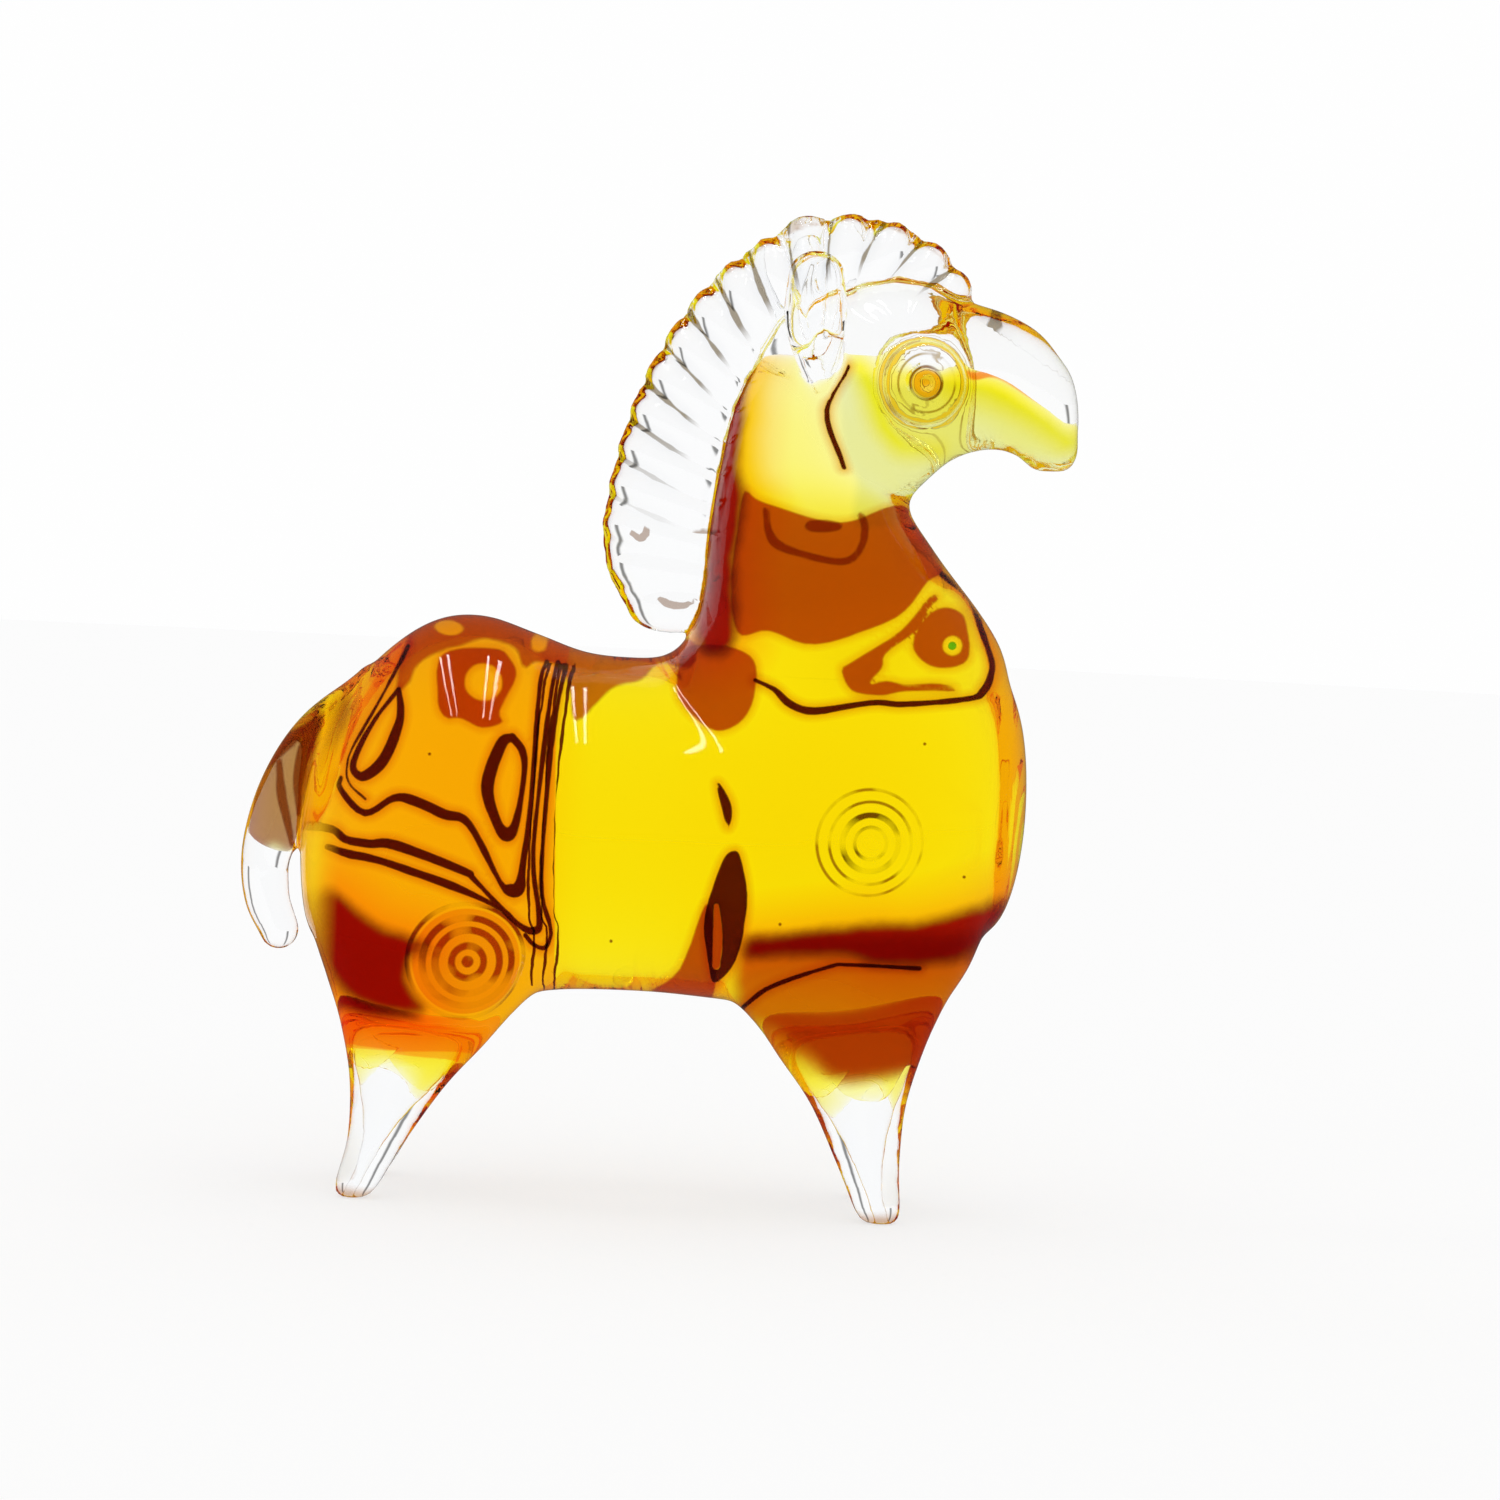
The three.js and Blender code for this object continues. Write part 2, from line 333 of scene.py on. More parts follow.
# %% [markdown]
# ## Node trees from the script
# A few helpers keep the trees short. `node` adds one node and fills its sockets with values or links.
# `new_tree` opens a Geometry Nodes tree with named inputs, and `close_tree` ends it: instances are made
# real and the glass is laid on. `grown` runs a tree once on a mesh and gives back a plain mesh. It sets
# the inputs by their identifiers before the first run, because a modifier doesn't know them by name.

# %% Nodes and trees
def node(tree, kind, inputs=(), **settings):
    made = tree.nodes.new(kind)
    for key, value in settings.items():
        setattr(made, key, value)
    for key, value in dict(inputs).items():
        if isinstance(value, bpy.types.NodeSocket):
            tree.links.new(value, made.inputs[key])
        else:
            made.inputs[key].default_value = value
    return made


def new_tree(name, sockets):
    tree = bpy.data.node_groups.new(name, "GeometryNodeTree")
    tree.interface.new_socket("Geometry", in_out="INPUT", socket_type="NodeSocketGeometry")
    tree.interface.new_socket("Finish", in_out="INPUT", socket_type="NodeSocketMaterial")
    for label, kind, value in sockets:
        tree.interface.new_socket(label, in_out="INPUT", socket_type=kind).default_value = value
    tree.interface.new_socket("Geometry", in_out="OUTPUT", socket_type="NodeSocketGeometry")
    return tree, tree.nodes.new("NodeGroupInput")


def close_tree(tree, given, geometry):
    real = node(tree, "GeometryNodeRealizeInstances", {"Geometry": geometry})
    glass = node(tree, "GeometryNodeSetMaterial", {
        "Geometry": real.outputs[0], "Material": given.outputs["Finish"]})
    tree.links.new(glass.outputs[0], tree.nodes.new("NodeGroupOutput").inputs[0])


# %% Grow a tree into a plain mesh
def grown(tree, source, **values):
    holder = bpy.data.objects.new("holder", source)
    bpy.context.scene.collection.objects.link(holder)
    modifier = holder.modifiers.new("grow", "NODES")
    modifier.node_group = tree
    keys = {item.name: item.identifier for item in tree.interface.items_tree if item.in_out == "INPUT"}
    modifier[keys["Finish"]] = clear
    for label, value in values.items():
        modifier[keys[label.replace("_", " ")]] = value
    holder.update_tag()
    mesh = bpy.data.meshes.new_from_object(holder.evaluated_get(bpy.context.evaluated_depsgraph_get()))
    bpy.data.objects.remove(holder)
    print(tree.name, "grew", len(mesh.vertices), "points")
    return mesh


# %% [markdown]
# ## Mane
# The mane is a strip of clear glass laid over the crest and pinched with crimping tongs. That leaves a
# row of lobes, each a little aslant, and a row of small beads along the edge. What repeats along a path
# is a job for Geometry Nodes: the mane's stations become a curve, and a lobe is set on each of its evenly
# spaced points, as deep and as wide as the mane is there. The beads are the same tree with other numbers.

# %% Stations of the mane
mane = [
    (1.6, 0, 107.5, 7.8, 4.6), (-0.6, 0, 118, 10.9, 5), (0.2, 0, 131, 10.6, 5), (3.8, 0, 145, 10.2, 5),
    (11.2, 0, 157.8, 10.2, 5), (21, 0, 167, 9.8, 5), (32, 0, 171, 8.9, 5.2), (42, 0, 168.6, 7.8, 5),
    (47.4, 0, 165.4, 6, 4.6),
]
mane_rows = between(mane, 24)


def path_mesh(name, rows):
    mesh = bpy.data.meshes.new(name)
    mesh.from_pydata(rows[:, :3].tolist(), [(i, i + 1) for i in range(len(rows) - 1)], [])
    for column, label in ((3, "deep"), (4, "wide")):
        sizes = mesh.attributes.new(label, "FLOAT", "POINT")
        sizes.data.foreach_set("value", rows[:, column].astype(np.float32))
    return mesh


# %% A row of pinched lobes
lobe_tree, given = new_tree("pinched lobes", [
    ("Count", "NodeSocketInt", 15), ("Lean", "NodeSocketFloat", 0.0), ("Half pitch", "NodeSocketFloat", 4.0)])
curve = node(lobe_tree, "GeometryNodeMeshToCurve", {"Mesh": given.outputs["Geometry"]})
even = node(lobe_tree, "GeometryNodeResampleCurve", {
    "Curve": curve.outputs[0], "Count": given.outputs["Count"]})
lobe = node(lobe_tree, "GeometryNodeMeshUVSphere", {"Segments": 32, "Rings": 24, "Radius": 1.0})
tangent = node(lobe_tree, "GeometryNodeInputTangent")
square = node(lobe_tree, "FunctionNodeAxesToRotation", {
    "Primary Axis": tangent.outputs[0], "Secondary Axis": (0, 1, 0)}, primary_axis="X", secondary_axis="Y")
tilt = node(lobe_tree, "FunctionNodeAxisAngleToRotation", {
    "Axis": (0, 1, 0), "Angle": given.outputs["Lean"]})
turned = node(lobe_tree, "FunctionNodeRotateRotation", {
    "Rotation": square.outputs[0], "Rotate By": tilt.outputs[0]}, rotation_space="LOCAL")
deep, wide = (node(lobe_tree, "GeometryNodeInputNamedAttribute", {"Name": label}, data_type="FLOAT")
              for label in ("deep", "wide"))
size = node(lobe_tree, "ShaderNodeCombineXYZ", {
    "X": given.outputs["Half pitch"], "Y": wide.outputs[0], "Z": deep.outputs[0]})
row = node(lobe_tree, "GeometryNodeInstanceOnPoints", {
    "Points": even.outputs[0], "Instance": lobe.outputs[0], "Rotation": turned.outputs[0],
    "Scale": size.outputs[0]})
close_tree(lobe_tree, given, row.outputs[0])

# %% Lobes on a thinner sheet
lobe_count, lobe_lean, lobe_half_pitch = 16, 0.3, 4.6
lobes = grown(lobe_tree, path_mesh("mane spine", mane_rows), Count=lobe_count, Lean=lobe_lean,
              Half_pitch=lobe_half_pitch)


def pressed(station):
    x, y, z, depth, width = station
    press = 0.7 + 0.9 * min(1, max(0, (z - 125) / 30))
    return x, y, z, depth - press, width - press


pinch_crease = 1.0
sheet = field_of(oval_tube([pressed(station) for station in mane], (4, 3.6)))
mane_field = melt(sheet, mesh_field(lobes), pinch_crease)

# %% Beads along the mane's edge
bead_count, bead_half = 34, 1.3
outward = np.cross(np.gradient(mane_rows[:, :3], axis=0), (0, 1, 0))
outward /= np.linalg.norm(outward, axis=1)[:, None]
bead_depth = 0.3 + 0.6 * np.clip((mane_rows[:, 2:3] - 120) / 30, 0, 1)
edge_line = mane_rows[:, :3] + outward * (mane_rows[:, 3:4] - 0.55 - bead_depth)
rim_rows = np.hstack([edge_line, bead_depth, np.full((len(mane_rows), 1), bead_half)])
beads = grown(lobe_tree, path_mesh("mane rim", rim_rows), Count=bead_count, Lean=0.0, Half_pitch=bead_half)
mane_field = melt(mane_field, mesh_field(beads), pinch_crease)
laid_crease = 1.2
body = melt(body, mane_field, laid_crease)
print("with the mane", glass_volume(body), "cm3")

# %% [markdown]
# ## Ears, brow and crest
# Each ear is a small leaf of clear glass, stuck on behind the brow and pressed hollow from outside. A
# tube makes the leaf, and a drop scoops it out. A flat drop fills the brow between the eyes, and a tiny
# one makes the knob on top of the crest.

# %% Ears, brow and crest
for hand in (-1, 1):
    leaf = field_of(oval_tube([
        (26, hand * 13.2, 148.5, 1.8, 1.8), (25.4, hand * 15, 154, 4.3, 3),
        (24.8, hand * 16.4, 161, 5.6, 3.5), (24.6, hand * 17, 167.6, 5, 3.2)], (2.4, 4.4)))
    hollowed = cut_away(leaf, drop((25.6, hand * 19.2, 163), (3, 2.4, 8)), 0.8)
    body = melt(body, hollowed, laid_crease)
brow = drop((41, 0, 161), (9, 11.5, 5.6), -12)
knob = drop((22, 0, 176.4), (3.6, 3.2, 2.4), 20)
body = melt(melt(body, brow, 2.5), knob, 1)
print("with ears and brow", glass_volume(body), "cm3")

# %% [markdown]
# ## Stamped pads
# Small gobs of clear glass were dropped on the eyes, shoulders and haunches, and pressed with a stamp
# that leaves rings. The rings repeat, so a tree makes them: circles of growing radius, swept by a thin
# round wire. The circles are made real before the sweep, or the wire would grow with them. The rings are
# made flat and then let down on the glass point by point, because a shoulder isn't flat, and they are
# melted on last.

# %% A tree of rings
ring_tree, given = new_tree("stamped rings", [
    ("Count", "NodeSocketInt", 3), ("Inner", "NodeSocketFloat", 3.0), ("Outer", "NodeSocketFloat", 8.0),
    ("Relief", "NodeSocketFloat", 0.9)])
places = node(ring_tree, "GeometryNodeMeshLine", {"Count": given.outputs["Count"], "Offset": (0, 0, 0)})
ring = node(ring_tree, "GeometryNodeCurvePrimitiveCircle", {"Resolution": 64, "Radius": 1.0})
index = node(ring_tree, "GeometryNodeInputIndex")
last = node(ring_tree, "ShaderNodeMath", {0: given.outputs["Count"], 1: 1.0}, operation="SUBTRACT")
radius = node(ring_tree, "ShaderNodeMapRange", {
    "Value": index.outputs[0], "From Min": 0.0, "From Max": last.outputs[0],
    "To Min": given.outputs["Inner"], "To Max": given.outputs["Outer"]})
rings = node(ring_tree, "GeometryNodeInstanceOnPoints", {
    "Points": places.outputs[0], "Instance": ring.outputs[0], "Scale": radius.outputs[0]})
real = node(ring_tree, "GeometryNodeRealizeInstances", {"Geometry": rings.outputs[0]})
wire = node(ring_tree, "GeometryNodeCurvePrimitiveCircle", {
    "Resolution": 12, "Radius": given.outputs["Relief"]})
swept = node(ring_tree, "GeometryNodeCurveToMesh", {
    "Curve": real.outputs[0], "Profile Curve": wire.outputs[0]})
close_tree(ring_tree, given, swept.outputs[0])
blank = bpy.data.meshes.new("blank")

# %% Find the skin
def skin_point(field, start, direction):
    start, direction = np.array(start, float), np.array(direction, float)
    for step in np.arange(0, 60, 0.2):
        point = start + direction * step
        at = np.round(point / cell).astype(int) - grid_start
        if field[tuple(at)] < 0:
            break
    slopes = [field[tuple(at + e)] - field[tuple(at - e)] for e in np.eye(3, dtype=int) * 2]
    return point, np.array(slopes) / np.linalg.norm(slopes)


# %% Lay the rings down
pad_crease, button_crease, ring_crease = 1.6, 1.3, 0.9
pad_border = 0.9


def laid_rings(body, centre, turn, radius, count, inner, relief, height):
    mesh = grown(ring_tree, blank, Count=count, Inner=inner, Outer=radius - pad_border, Relief=relief)
    points = np.empty(len(mesh.vertices) * 3)
    mesh.vertices.foreach_get("co", points)
    points = points.reshape(-1, 3)
    let_down = np.zeros(len(points))
    for step in range(3):
        flat = np.stack([points[:, 0], points[:, 1], let_down], axis=1)
        let_down -= sample(body, flat @ turn.T + centre)
    points[:, 2] += let_down - relief + height
    mesh.vertices.foreach_set("co", (points @ turn.T + centre).ravel())
    return melt(body, mesh_field(mesh), ring_crease)


# %% Press one pad
# An eye is a flat button with a pupil, a haunch pad is a shallow dome, and the shoulder has rings alone.
pupil_radius = 1.3


def stamp(body, centre, facing, radius, count, inner, relief, height, proud, eye=False):
    turn = np.array(Vector(facing).to_track_quat("Z", "Y").to_matrix())
    dx, dy, dz = gx - centre[0], gy - centre[1], gz - centre[2]
    above = dx * facing[0] + dy * facing[1] + dz * facing[2]
    out = np.sqrt(np.clip(dx ** 2 + dy ** 2 + dz ** 2 - above ** 2, 0, None))
    if eye:
        body = melt(body, clipped(np.maximum(np.abs(above) - proud, out - radius)), button_crease)
    elif proud:
        pad = (np.sqrt((out / radius) ** 2 + (above / proud) ** 2) - 1) * proud
        body = melt(body, clipped(pad), pad_crease)
    body = laid_rings(body, centre, turn, radius, count, inner, relief, height)
    if eye:
        at = centre + facing * proud
        pupil = np.sqrt((gx - at[0]) ** 2 + (gy - at[1]) ** 2 + (gz - at[2]) ** 2) - pupil_radius
        body = melt(body, clipped(pupil), 1.0)
    return body


def spot(at):
    return np.array((at[0] + centring[0], abs(at[1]), at[2])) * mm


# %% Six pads
# The far side isn't in the photo, so its rings are softer there: a thicker wire that stands less proud.
for hand in (-1, 1):
    inward = (0, -hand, 0)
    wire_size, stands = (1.5, 0.8) if hand < 0 else (2.6, 0.3)
    at, facing = skin_point(bare, (44.6, hand * 34, 149.7), inward)
    eye_at = spot(at + facing * 1.5)
    body = stamp(body, at, facing, radius=7.2, count=2, inner=4.4, relief=1.3, height=0.6, proud=1.4,
                 eye=True)
    at, facing = skin_point(bare, (38.9, hand * 34, 68.6), inward)
    shoulder_at = spot(at)
    body = stamp(body, at, facing, radius=8.6, count=2, inner=4.1, relief=wire_size, height=0.8 * stands,
                 proud=0)
    at, facing = skin_point(bare, (-31.2, hand * 34, 44), inward)
    haunch_at = spot(at)
    body = stamp(body, at, facing, radius=8.8, count=3, inner=2.6, relief=wire_size, height=stands,
                 proud=1.3)
for label, at in (("eye", eye_at), ("shoulder", shoulder_at), ("haunch", haunch_at)):
    print(label, "pad at", np.round(at, 4), "m")

# %% [markdown]
# ## Feet
# The feet of such a figure are ground flat on a wheel once it is cold, so that it stands. The ground
# plane is cut away with a hair of a crease, which leaves the small bright edge that grinding does.

# %% Grind the feet
body = cut_away(body, clipped(gz), 0.6)
print("finished casing", glass_volume(body), "cm3")

# %% [markdown]
# ## Amber core
# The core is the amber gather that the clear glass was wrapped round. It follows the same stations a
# little farther in, runs out in uneven tongues inside the legs, thins to a narrow blade in the neck, and
# ends in the head as a thin plate with a rolled top. It is melted like the body and then kept at least
# `casing` under the clear surface, so that the two never touch. The tongues are a wavy floor, a sum of
# two sine waves, that cuts the core off inside the legs.

# %% Stations of the core
core_trunk = [
    (-54, 0, 65, 21, 14), (-49, 0, 66, 29, 20.5), (-41, 0, 68.4, 33.6, 25), (-32, 0, 70.1, 33.6, 26.5),
    (-22, 0, 69, 31.6, 25.5), (-12, 0, 68, 29.6, 24), (2, 0, 68, 29.4, 24.5), (18, 0, 68, 30, 27),
    (34, 0, 69, 30.5, 27.5), (47, 0, 71, 28.4, 25), (55, 0, 72, 25, 20.5), (60, 0, 73, 20, 15),
]
core_neck = [
    (33.5, 0, 70, 29.4, 25), (33.4, 0, 84, 30.2, 25.5), (31.4, 0, 94, 30.6, 24), (32.2, 0, 102, 27.6, 23),
    (31, 0, 109, 24, 20.5), (26.4, 0, 117, 21.8, 17), (23.4, 0, 124, 19, 11), (20.4, 0, 132, 15.6, 6.5),
    (20.2, 0, 141, 12.8, 5.5), (21.4, 0, 148, 9.2, 4.5),
]
head_plate = [
    (30, 0, 139, 14.6, 4), (37, 0, 138, 15.6, 4.2), (43, 0, 140.5, 13, 4.2), (49, 0, 143, 9.6, 4),
    (55, 0, 143.2, 7.6, 3.6), (61, 0, 141.2, 7, 3.2), (67, 0, 138.6, 6, 2.8), (71.4, 0, 137, 4.2, 2.2),
]
rolled_top = [
    (46, 0, 147, 2.2, 3), (52, 0, 148.4, 3, 6), (58, 0, 147.4, 3.4, 6.6), (64, 0, 143.8, 3.2, 6),
    (69, 0, 140.2, 2.8, 5), (72.4, 0, 138, 2, 3.6),
]
tail_core = [
    (-50, 0, 82, 8, 6.4), (-58, 0, 78.5, 7.8, 6), (-64.6, 0, 71, 5.8, 4.8), (-68.4, 0, 62.5, 3.6, 3.4),
]

# %% Melt the core
casing, leg_casing = 0.8, 1.5
casing_crease, tongue_crease = 0.5, 5
core = melt(field_of(oval_tube(core_trunk, (4, 5), z_axis)), field_of(oval_tube(core_neck, (8, 5), x_axis)),
            joint_crease)
for leg_field in leg_fields:
    core = melt(core, leg_field + leg_casing, leg_crease)
core = soften(core, polish)
tongues = 23 + 3.5 * np.sin(gx * 0.55 + gy * 0.4) + 2 * np.sin(gx * 0.21 - 1.0)
core = cut_away(core, clipped(gz - tongues), tongue_crease)
core = melt(core, field_of(oval_tube(head_plate, (4, 2), z_axis)), 0.8)
core = melt(core, field_of(oval_tube(rolled_top, (3, 1.5))), 4)
core = keep_within(core, bare + casing, casing_crease)
core = melt(core, field_of(oval_tube(tail_core, (3, 2))), 1)
core = keep_within(core, body + casing, casing_crease)
print("core", glass_volume(core), "cm3")

# %% [markdown]
# ## Two skins
# The zero level of each field becomes a closed mesh of small quads. Both pieces ride on the one body of
# the part. The casing stands in for the plain CAD solid, and the core is sealed inside it.

# %% Surface from a field
def surface(name, field):
    grid = vdb.FloatGrid(float(far))
    grid.copyFromArray(np.ascontiguousarray(field), ijk=tuple(int(i) for i in grid_start))
    grid.transform = vdb.createLinearTransform(voxelSize=cell)
    points, triangles, quads = grid.convertToPolygons(isovalue=0.0, adaptivity=0)
    mesh = bpy.data.meshes.new(name)
    mesh.from_pydata(((points + centring) * mm).tolist(), [], [tuple(quad) for quad in quads])
    mesh.polygons.foreach_set("use_smooth", [True] * len(mesh.polygons))
    piece = bpy.data.objects.new(name, mesh)
    bpy.context.scene.collection.objects.link(piece)
    print(name, "has", len(quads), "quads and", len(triangles), "triangles")
    return piece, points


outer, outer_points = surface("clear_casing", body)
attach(outer, "root")
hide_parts("glass_horse")
inner, _ = surface("amber_core", core)
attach(inner, "root")

# %% [markdown]
# ## Dark contours, seen and stored
# The dark lines and patches in the amber are partly streaks of colour and partly painted refraction:
# bent pictures of the far side, painted on. They could be modelled as films of glass, but their look would
# then hang on every bend of light. They are painted on the core's skin instead, where the photo shows them.
# For each point of the mesh the script works out where the camera sees it, in the horse's middle plane,
# and how far that is from each outline. The distance is stored on the point, in millimetres and below
# zero inside, and the shader turns it into a crisp or a soft edge. Nothing in the shader knows where the
# camera is.

# %% Where the camera sees a point
camera_point = np.array(camera.location) / mm - centring


def as_seen(points):
    share = -camera_point[1] / (points[:, 1] - camera_point[1])
    return (camera_point + share[:, None] * (points - camera_point))[:, [0, 2]]


# %% Distance to a line of changing width
outline_steps = 5
unseen = 99.0


def line_gap(spots, line):
    rows = between(line, outline_steps)
    best = np.full(len(spots), unseen)
    for a, b in zip(rows[:-1], rows[1:]):
        run = b[:2] - a[:2]
        t = np.clip((spots - a[:2]) @ run / (run @ run + 1e-9), 0, 1)
        gap = np.linalg.norm(spots - a[:2] - t[:, None] * run, axis=1) - (a[2] + t * (b[2] - a[2]))
        best = np.minimum(best, gap)
    return best


# %% Distance to a patch, below zero inside
def patch_gap(spots, outline):
    ring = np.array(outline + outline[:1], float)
    rows = spline(np.vstack([ring[-2:-1], ring, ring[1:2]]), outline_steps)
    best = np.full(len(spots), unseen)
    inside = np.zeros(len(spots), bool)
    for a, b in zip(rows, np.roll(rows, -1, axis=0)):
        run = b - a
        t = np.clip((spots - a) @ run / (run @ run + 1e-9), 0, 1)
        best = np.minimum(best, np.linalg.norm(spots - a - t[:, None] * run, axis=1))
        crosses = (a[1] > spots[:, 1]) != (b[1] > spots[:, 1])
        with np.errstate(divide="ignore", invalid="ignore"):
            edge = a[0] + (spots[:, 1] - a[1]) * run[0] / run[1]
        inside ^= crosses & (spots[:, 0] < edge)
    return np.where(inside, -best, best)


def disc_gap(spots, x, z, radius, squash=1.0):
    return np.hypot(spots[:, 0] - x, (spots[:, 1] - z) / squash) - radius


# %% How far along a path, and how far to its left
def beside(spots, path):
    nearest = np.full(len(spots), unseen)
    along = np.zeros(len(spots))
    left = np.full(len(spots), unseen)
    start = 0.0
    for a, b in zip(path[:-1], path[1:]):
        run = b - a
        t = np.clip((spots - a) @ run / (run @ run + 1e-9), 0, 1)
        off = spots - a - t[:, None] * run
        gap = np.linalg.norm(off, axis=1)
        side = np.where(run[0] * off[:, 1] - run[1] * off[:, 0] > 0, 1.0, -1.0)
        closer = gap < nearest
        nearest = np.where(closer, gap, nearest)
        along = np.where(closer, start + t * np.linalg.norm(run), along)
        left = np.where(closer, gap * side, left)
        start += np.linalg.norm(run)
    return along, left


# %% [markdown]
# ## Outlines
# Each outline is a short row of points in millimetres, read off the photo in the horse's side view: x
# toward the nose and z up. A line has a third number, its half width there. A patch is a closed ring.
# Both are rounded with the same spline as the tubes, so a few points are enough. The loops and waves are
# the dark contours over the haunch, and the rest are named for where they lie and for their colour. The
# dark ones are partly streaks and partly painted refraction.

# %% Dark contours over the rump
loop_left = [
    (-46.5, 90, 0.4), (-50.5, 84, 0.3), (-53.5, 76.5, 0.5), (-52.5, 74, 0.8), (-50.5, 75, 0.9),
    (-48.5, 77.5, 0.9), (-47, 81.5, 0.9), (-46, 85.5, 0.7), (-46.5, 90, 0.4),
]
loop_left_outer = [
    (-45, 97.5, 0.3), (-53, 80.5, 0.2), (-54.5, 75.5, 0.2), (-54, 72.5, 0.2), (-51.5, 70, 0.3),
]
loop_right = [
    (-26, 82.5, 0.7), (-28, 81, 1.1), (-30, 73.5, 1.1), (-28, 67, 0.9), (-26, 65, 1.3), (-24.5, 67.5, 0.7),
    (-23.5, 76, 0.5), (-24, 80, 0.7), (-26, 82.5, 0.7),
]
wave_top = [
    (-55.5, 73.5, 0.4), (-55.5, 71.5, 0.5), (-51.5, 67.5, 0.6), (-46.5, 70.5, 0.7), (-42.5, 70, 0.9),
    (-37.5, 68, 0.9), (-33, 66.5, 0.7), (-27, 56.5, 0.5), (-25, 55, 1.1), (-23.5, 55.5, 1.1),
    (-23, 59, 0.6), (-22, 71.5, 0.5), (-21.5, 91.5, 0.4), (-20.5, 96, 0.4),
]
wave_middle = [
    (-59.5, 64.5, 0.9), (-56.5, 64, 0.7), (-54.5, 62.5, 0.7), (-50.5, 62, 0.8), (-46, 62, 0.9),
    (-33.5, 58, 0.7), (-31.5, 56.5, 0.5), (-23.5, 49, 0.5), (-20, 48, 0.7), (-19.5, 50.5, 0.5),
    (-21, 59, 0.4), (-21, 68, 0.4), (-19.5, 89.5, 0.4), (-18.5, 96, 0.4),
]
wave_low = [
    (-57.5, 61, 0.5), (-54, 60, 0.7), (-48.5, 59, 0.7), (-35, 55, 0.7), (-26.5, 51.5, 0.4),
    (-24, 49.5, 0.4),
]
seam_left = [
    (-17, 95.5, 0.4), (-18, 89.5, 0.4), (-19, 79, 0.4), (-19.5, 57, 0.4), (-17.5, 49, 0.4),
    (-17.5, 46.5, 0.4), (-18.5, 45, 0.5), (-20.5, 45.5, 0.4), (-22, 47, 0.4),
]
seam_right = [
    (-15.5, 95, 0.5), (-16.5, 90, 0.5), (-17.5, 68, 0.3), (-17, 52.5, 0.3), (-16, 48, 0.4),
    (-16.5, 38, 0.4),
]

# %% Patches of the rump and back
rump_patch = [
    (-18, 100.5), (-18.5, 89.5), (-17.5, 68), (-16.5, 42.5), (-16.5, 33.5), (-29, 26), (-54.5, 26.5),
    (-58, 40.5), (-62, 51.5), (-59, 65), (-56, 72.5), (-54.5, 81.5), (-47, 97.5), (-40, 104),
]
top_brown = [
    (-45, 99), (-40, 105.5), (-33, 106), (-24, 104), (-16.5, 100.5), (-9, 99), (0, 99.5), (5.5, 101.5),
    (7, 99), (5.5, 96.5), (0, 96.5), (-3.5, 93.5), (-8.5, 92), (-14.5, 86), (-16, 91.5), (-18, 95.5),
    (-22.5, 96), (-24.5, 95), (-26, 98), (-30, 99.5), (-34.5, 99), (-42.5, 95.5), (-45, 91), (-47, 90),
]
ring_brown = [
    (-39, 96.5), (-30, 98), (-27, 96), (-26, 93), (-28.5, 87), (-28, 85), (-31.5, 84), (-35.5, 85.5),
    (-38, 85.5), (-39.5, 88.5),
]
red_left = [
    (-59.5, 51.5), (-56.5, 53), (-48.5, 47.5), (-40, 44.5), (-42.5, 41), (-42.5, 37), (-40, 32.5),
    (-47.5, 32), (-54, 35.5), (-60.5, 46),
]
round_brown = [(5.5, 100), (13.5, 100.5), (17.5, 97.5), (16.5, 89), (11, 85.5), (5, 89.5), (3.5, 93.5)]

# %% Contours and patches of the chest
lens_patch = [
    (15, 64), (13, 61.5), (10.5, 52), (11.5, 44), (13, 40.5), (16.5, 44.5), (18, 54.5), (16.5, 62.5),
]
lens_inner = [(12.5, 54, 0.5), (13, 48.5, 0.9), (13, 43.5, 0.7)]
small_lens = [(11.5, 76), (13.5, 68.5), (14.5, 70), (14, 73)]
belly_patch = [(1, 38), (6.5, 42.5), (10.5, 54), (12, 49.5), (13, 39), (8.5, 37)]
chest_contour = [
    (17.5, 95, 0.4), (21, 93.5, 0.5), (24, 91, 0.7), (28.5, 90, 0.7), (38.5, 92, 0.5), (44.5, 92, 0.5),
    (55.5, 93.5, 0.5), (58, 95, 0.7), (59, 98, 0.5), (58.5, 101.5, 0.4), (54, 110.5, 0.4), (49, 115, 0.4),
]
tongue = [
    (33, 97.5), (35, 94), (40, 93.5), (44.5, 94.5), (53, 95), (50, 96), (44.5, 95.5), (41, 96), (38, 95.5),
    (40, 98.5), (40.5, 101), (46, 105.5), (47.5, 109), (49, 111), (47.5, 111), (43, 105), (34.5, 99),
]
hollow = [(45.5, 102), (46.5, 106.5), (49, 109), (52, 109), (54, 107), (55, 100.5), (49.5, 99)]
red_band = [
    (18.5, 48), (22.5, 49), (40.5, 52), (47.5, 52.5), (57.5, 55.5), (64.5, 58.5), (62.5, 53), (56, 46.5),
    (42.5, 44.5), (37, 46), (24.5, 45.5), (18.5, 45),
]
chest_arc = [(19, 36.5, 0.4), (23.5, 40, 0.4), (33.5, 44, 0.4), (37, 44.5, 0.4), (49.5, 44.5, 0.4)]
chest_low = [
    (18, 47.5), (28, 49), (55, 50.5), (61, 52), (54, 36.5), (51.5, 30), (47, 26), (36.5, 24.5), (31.5, 28),
    (25, 32), (18.5, 36),
]

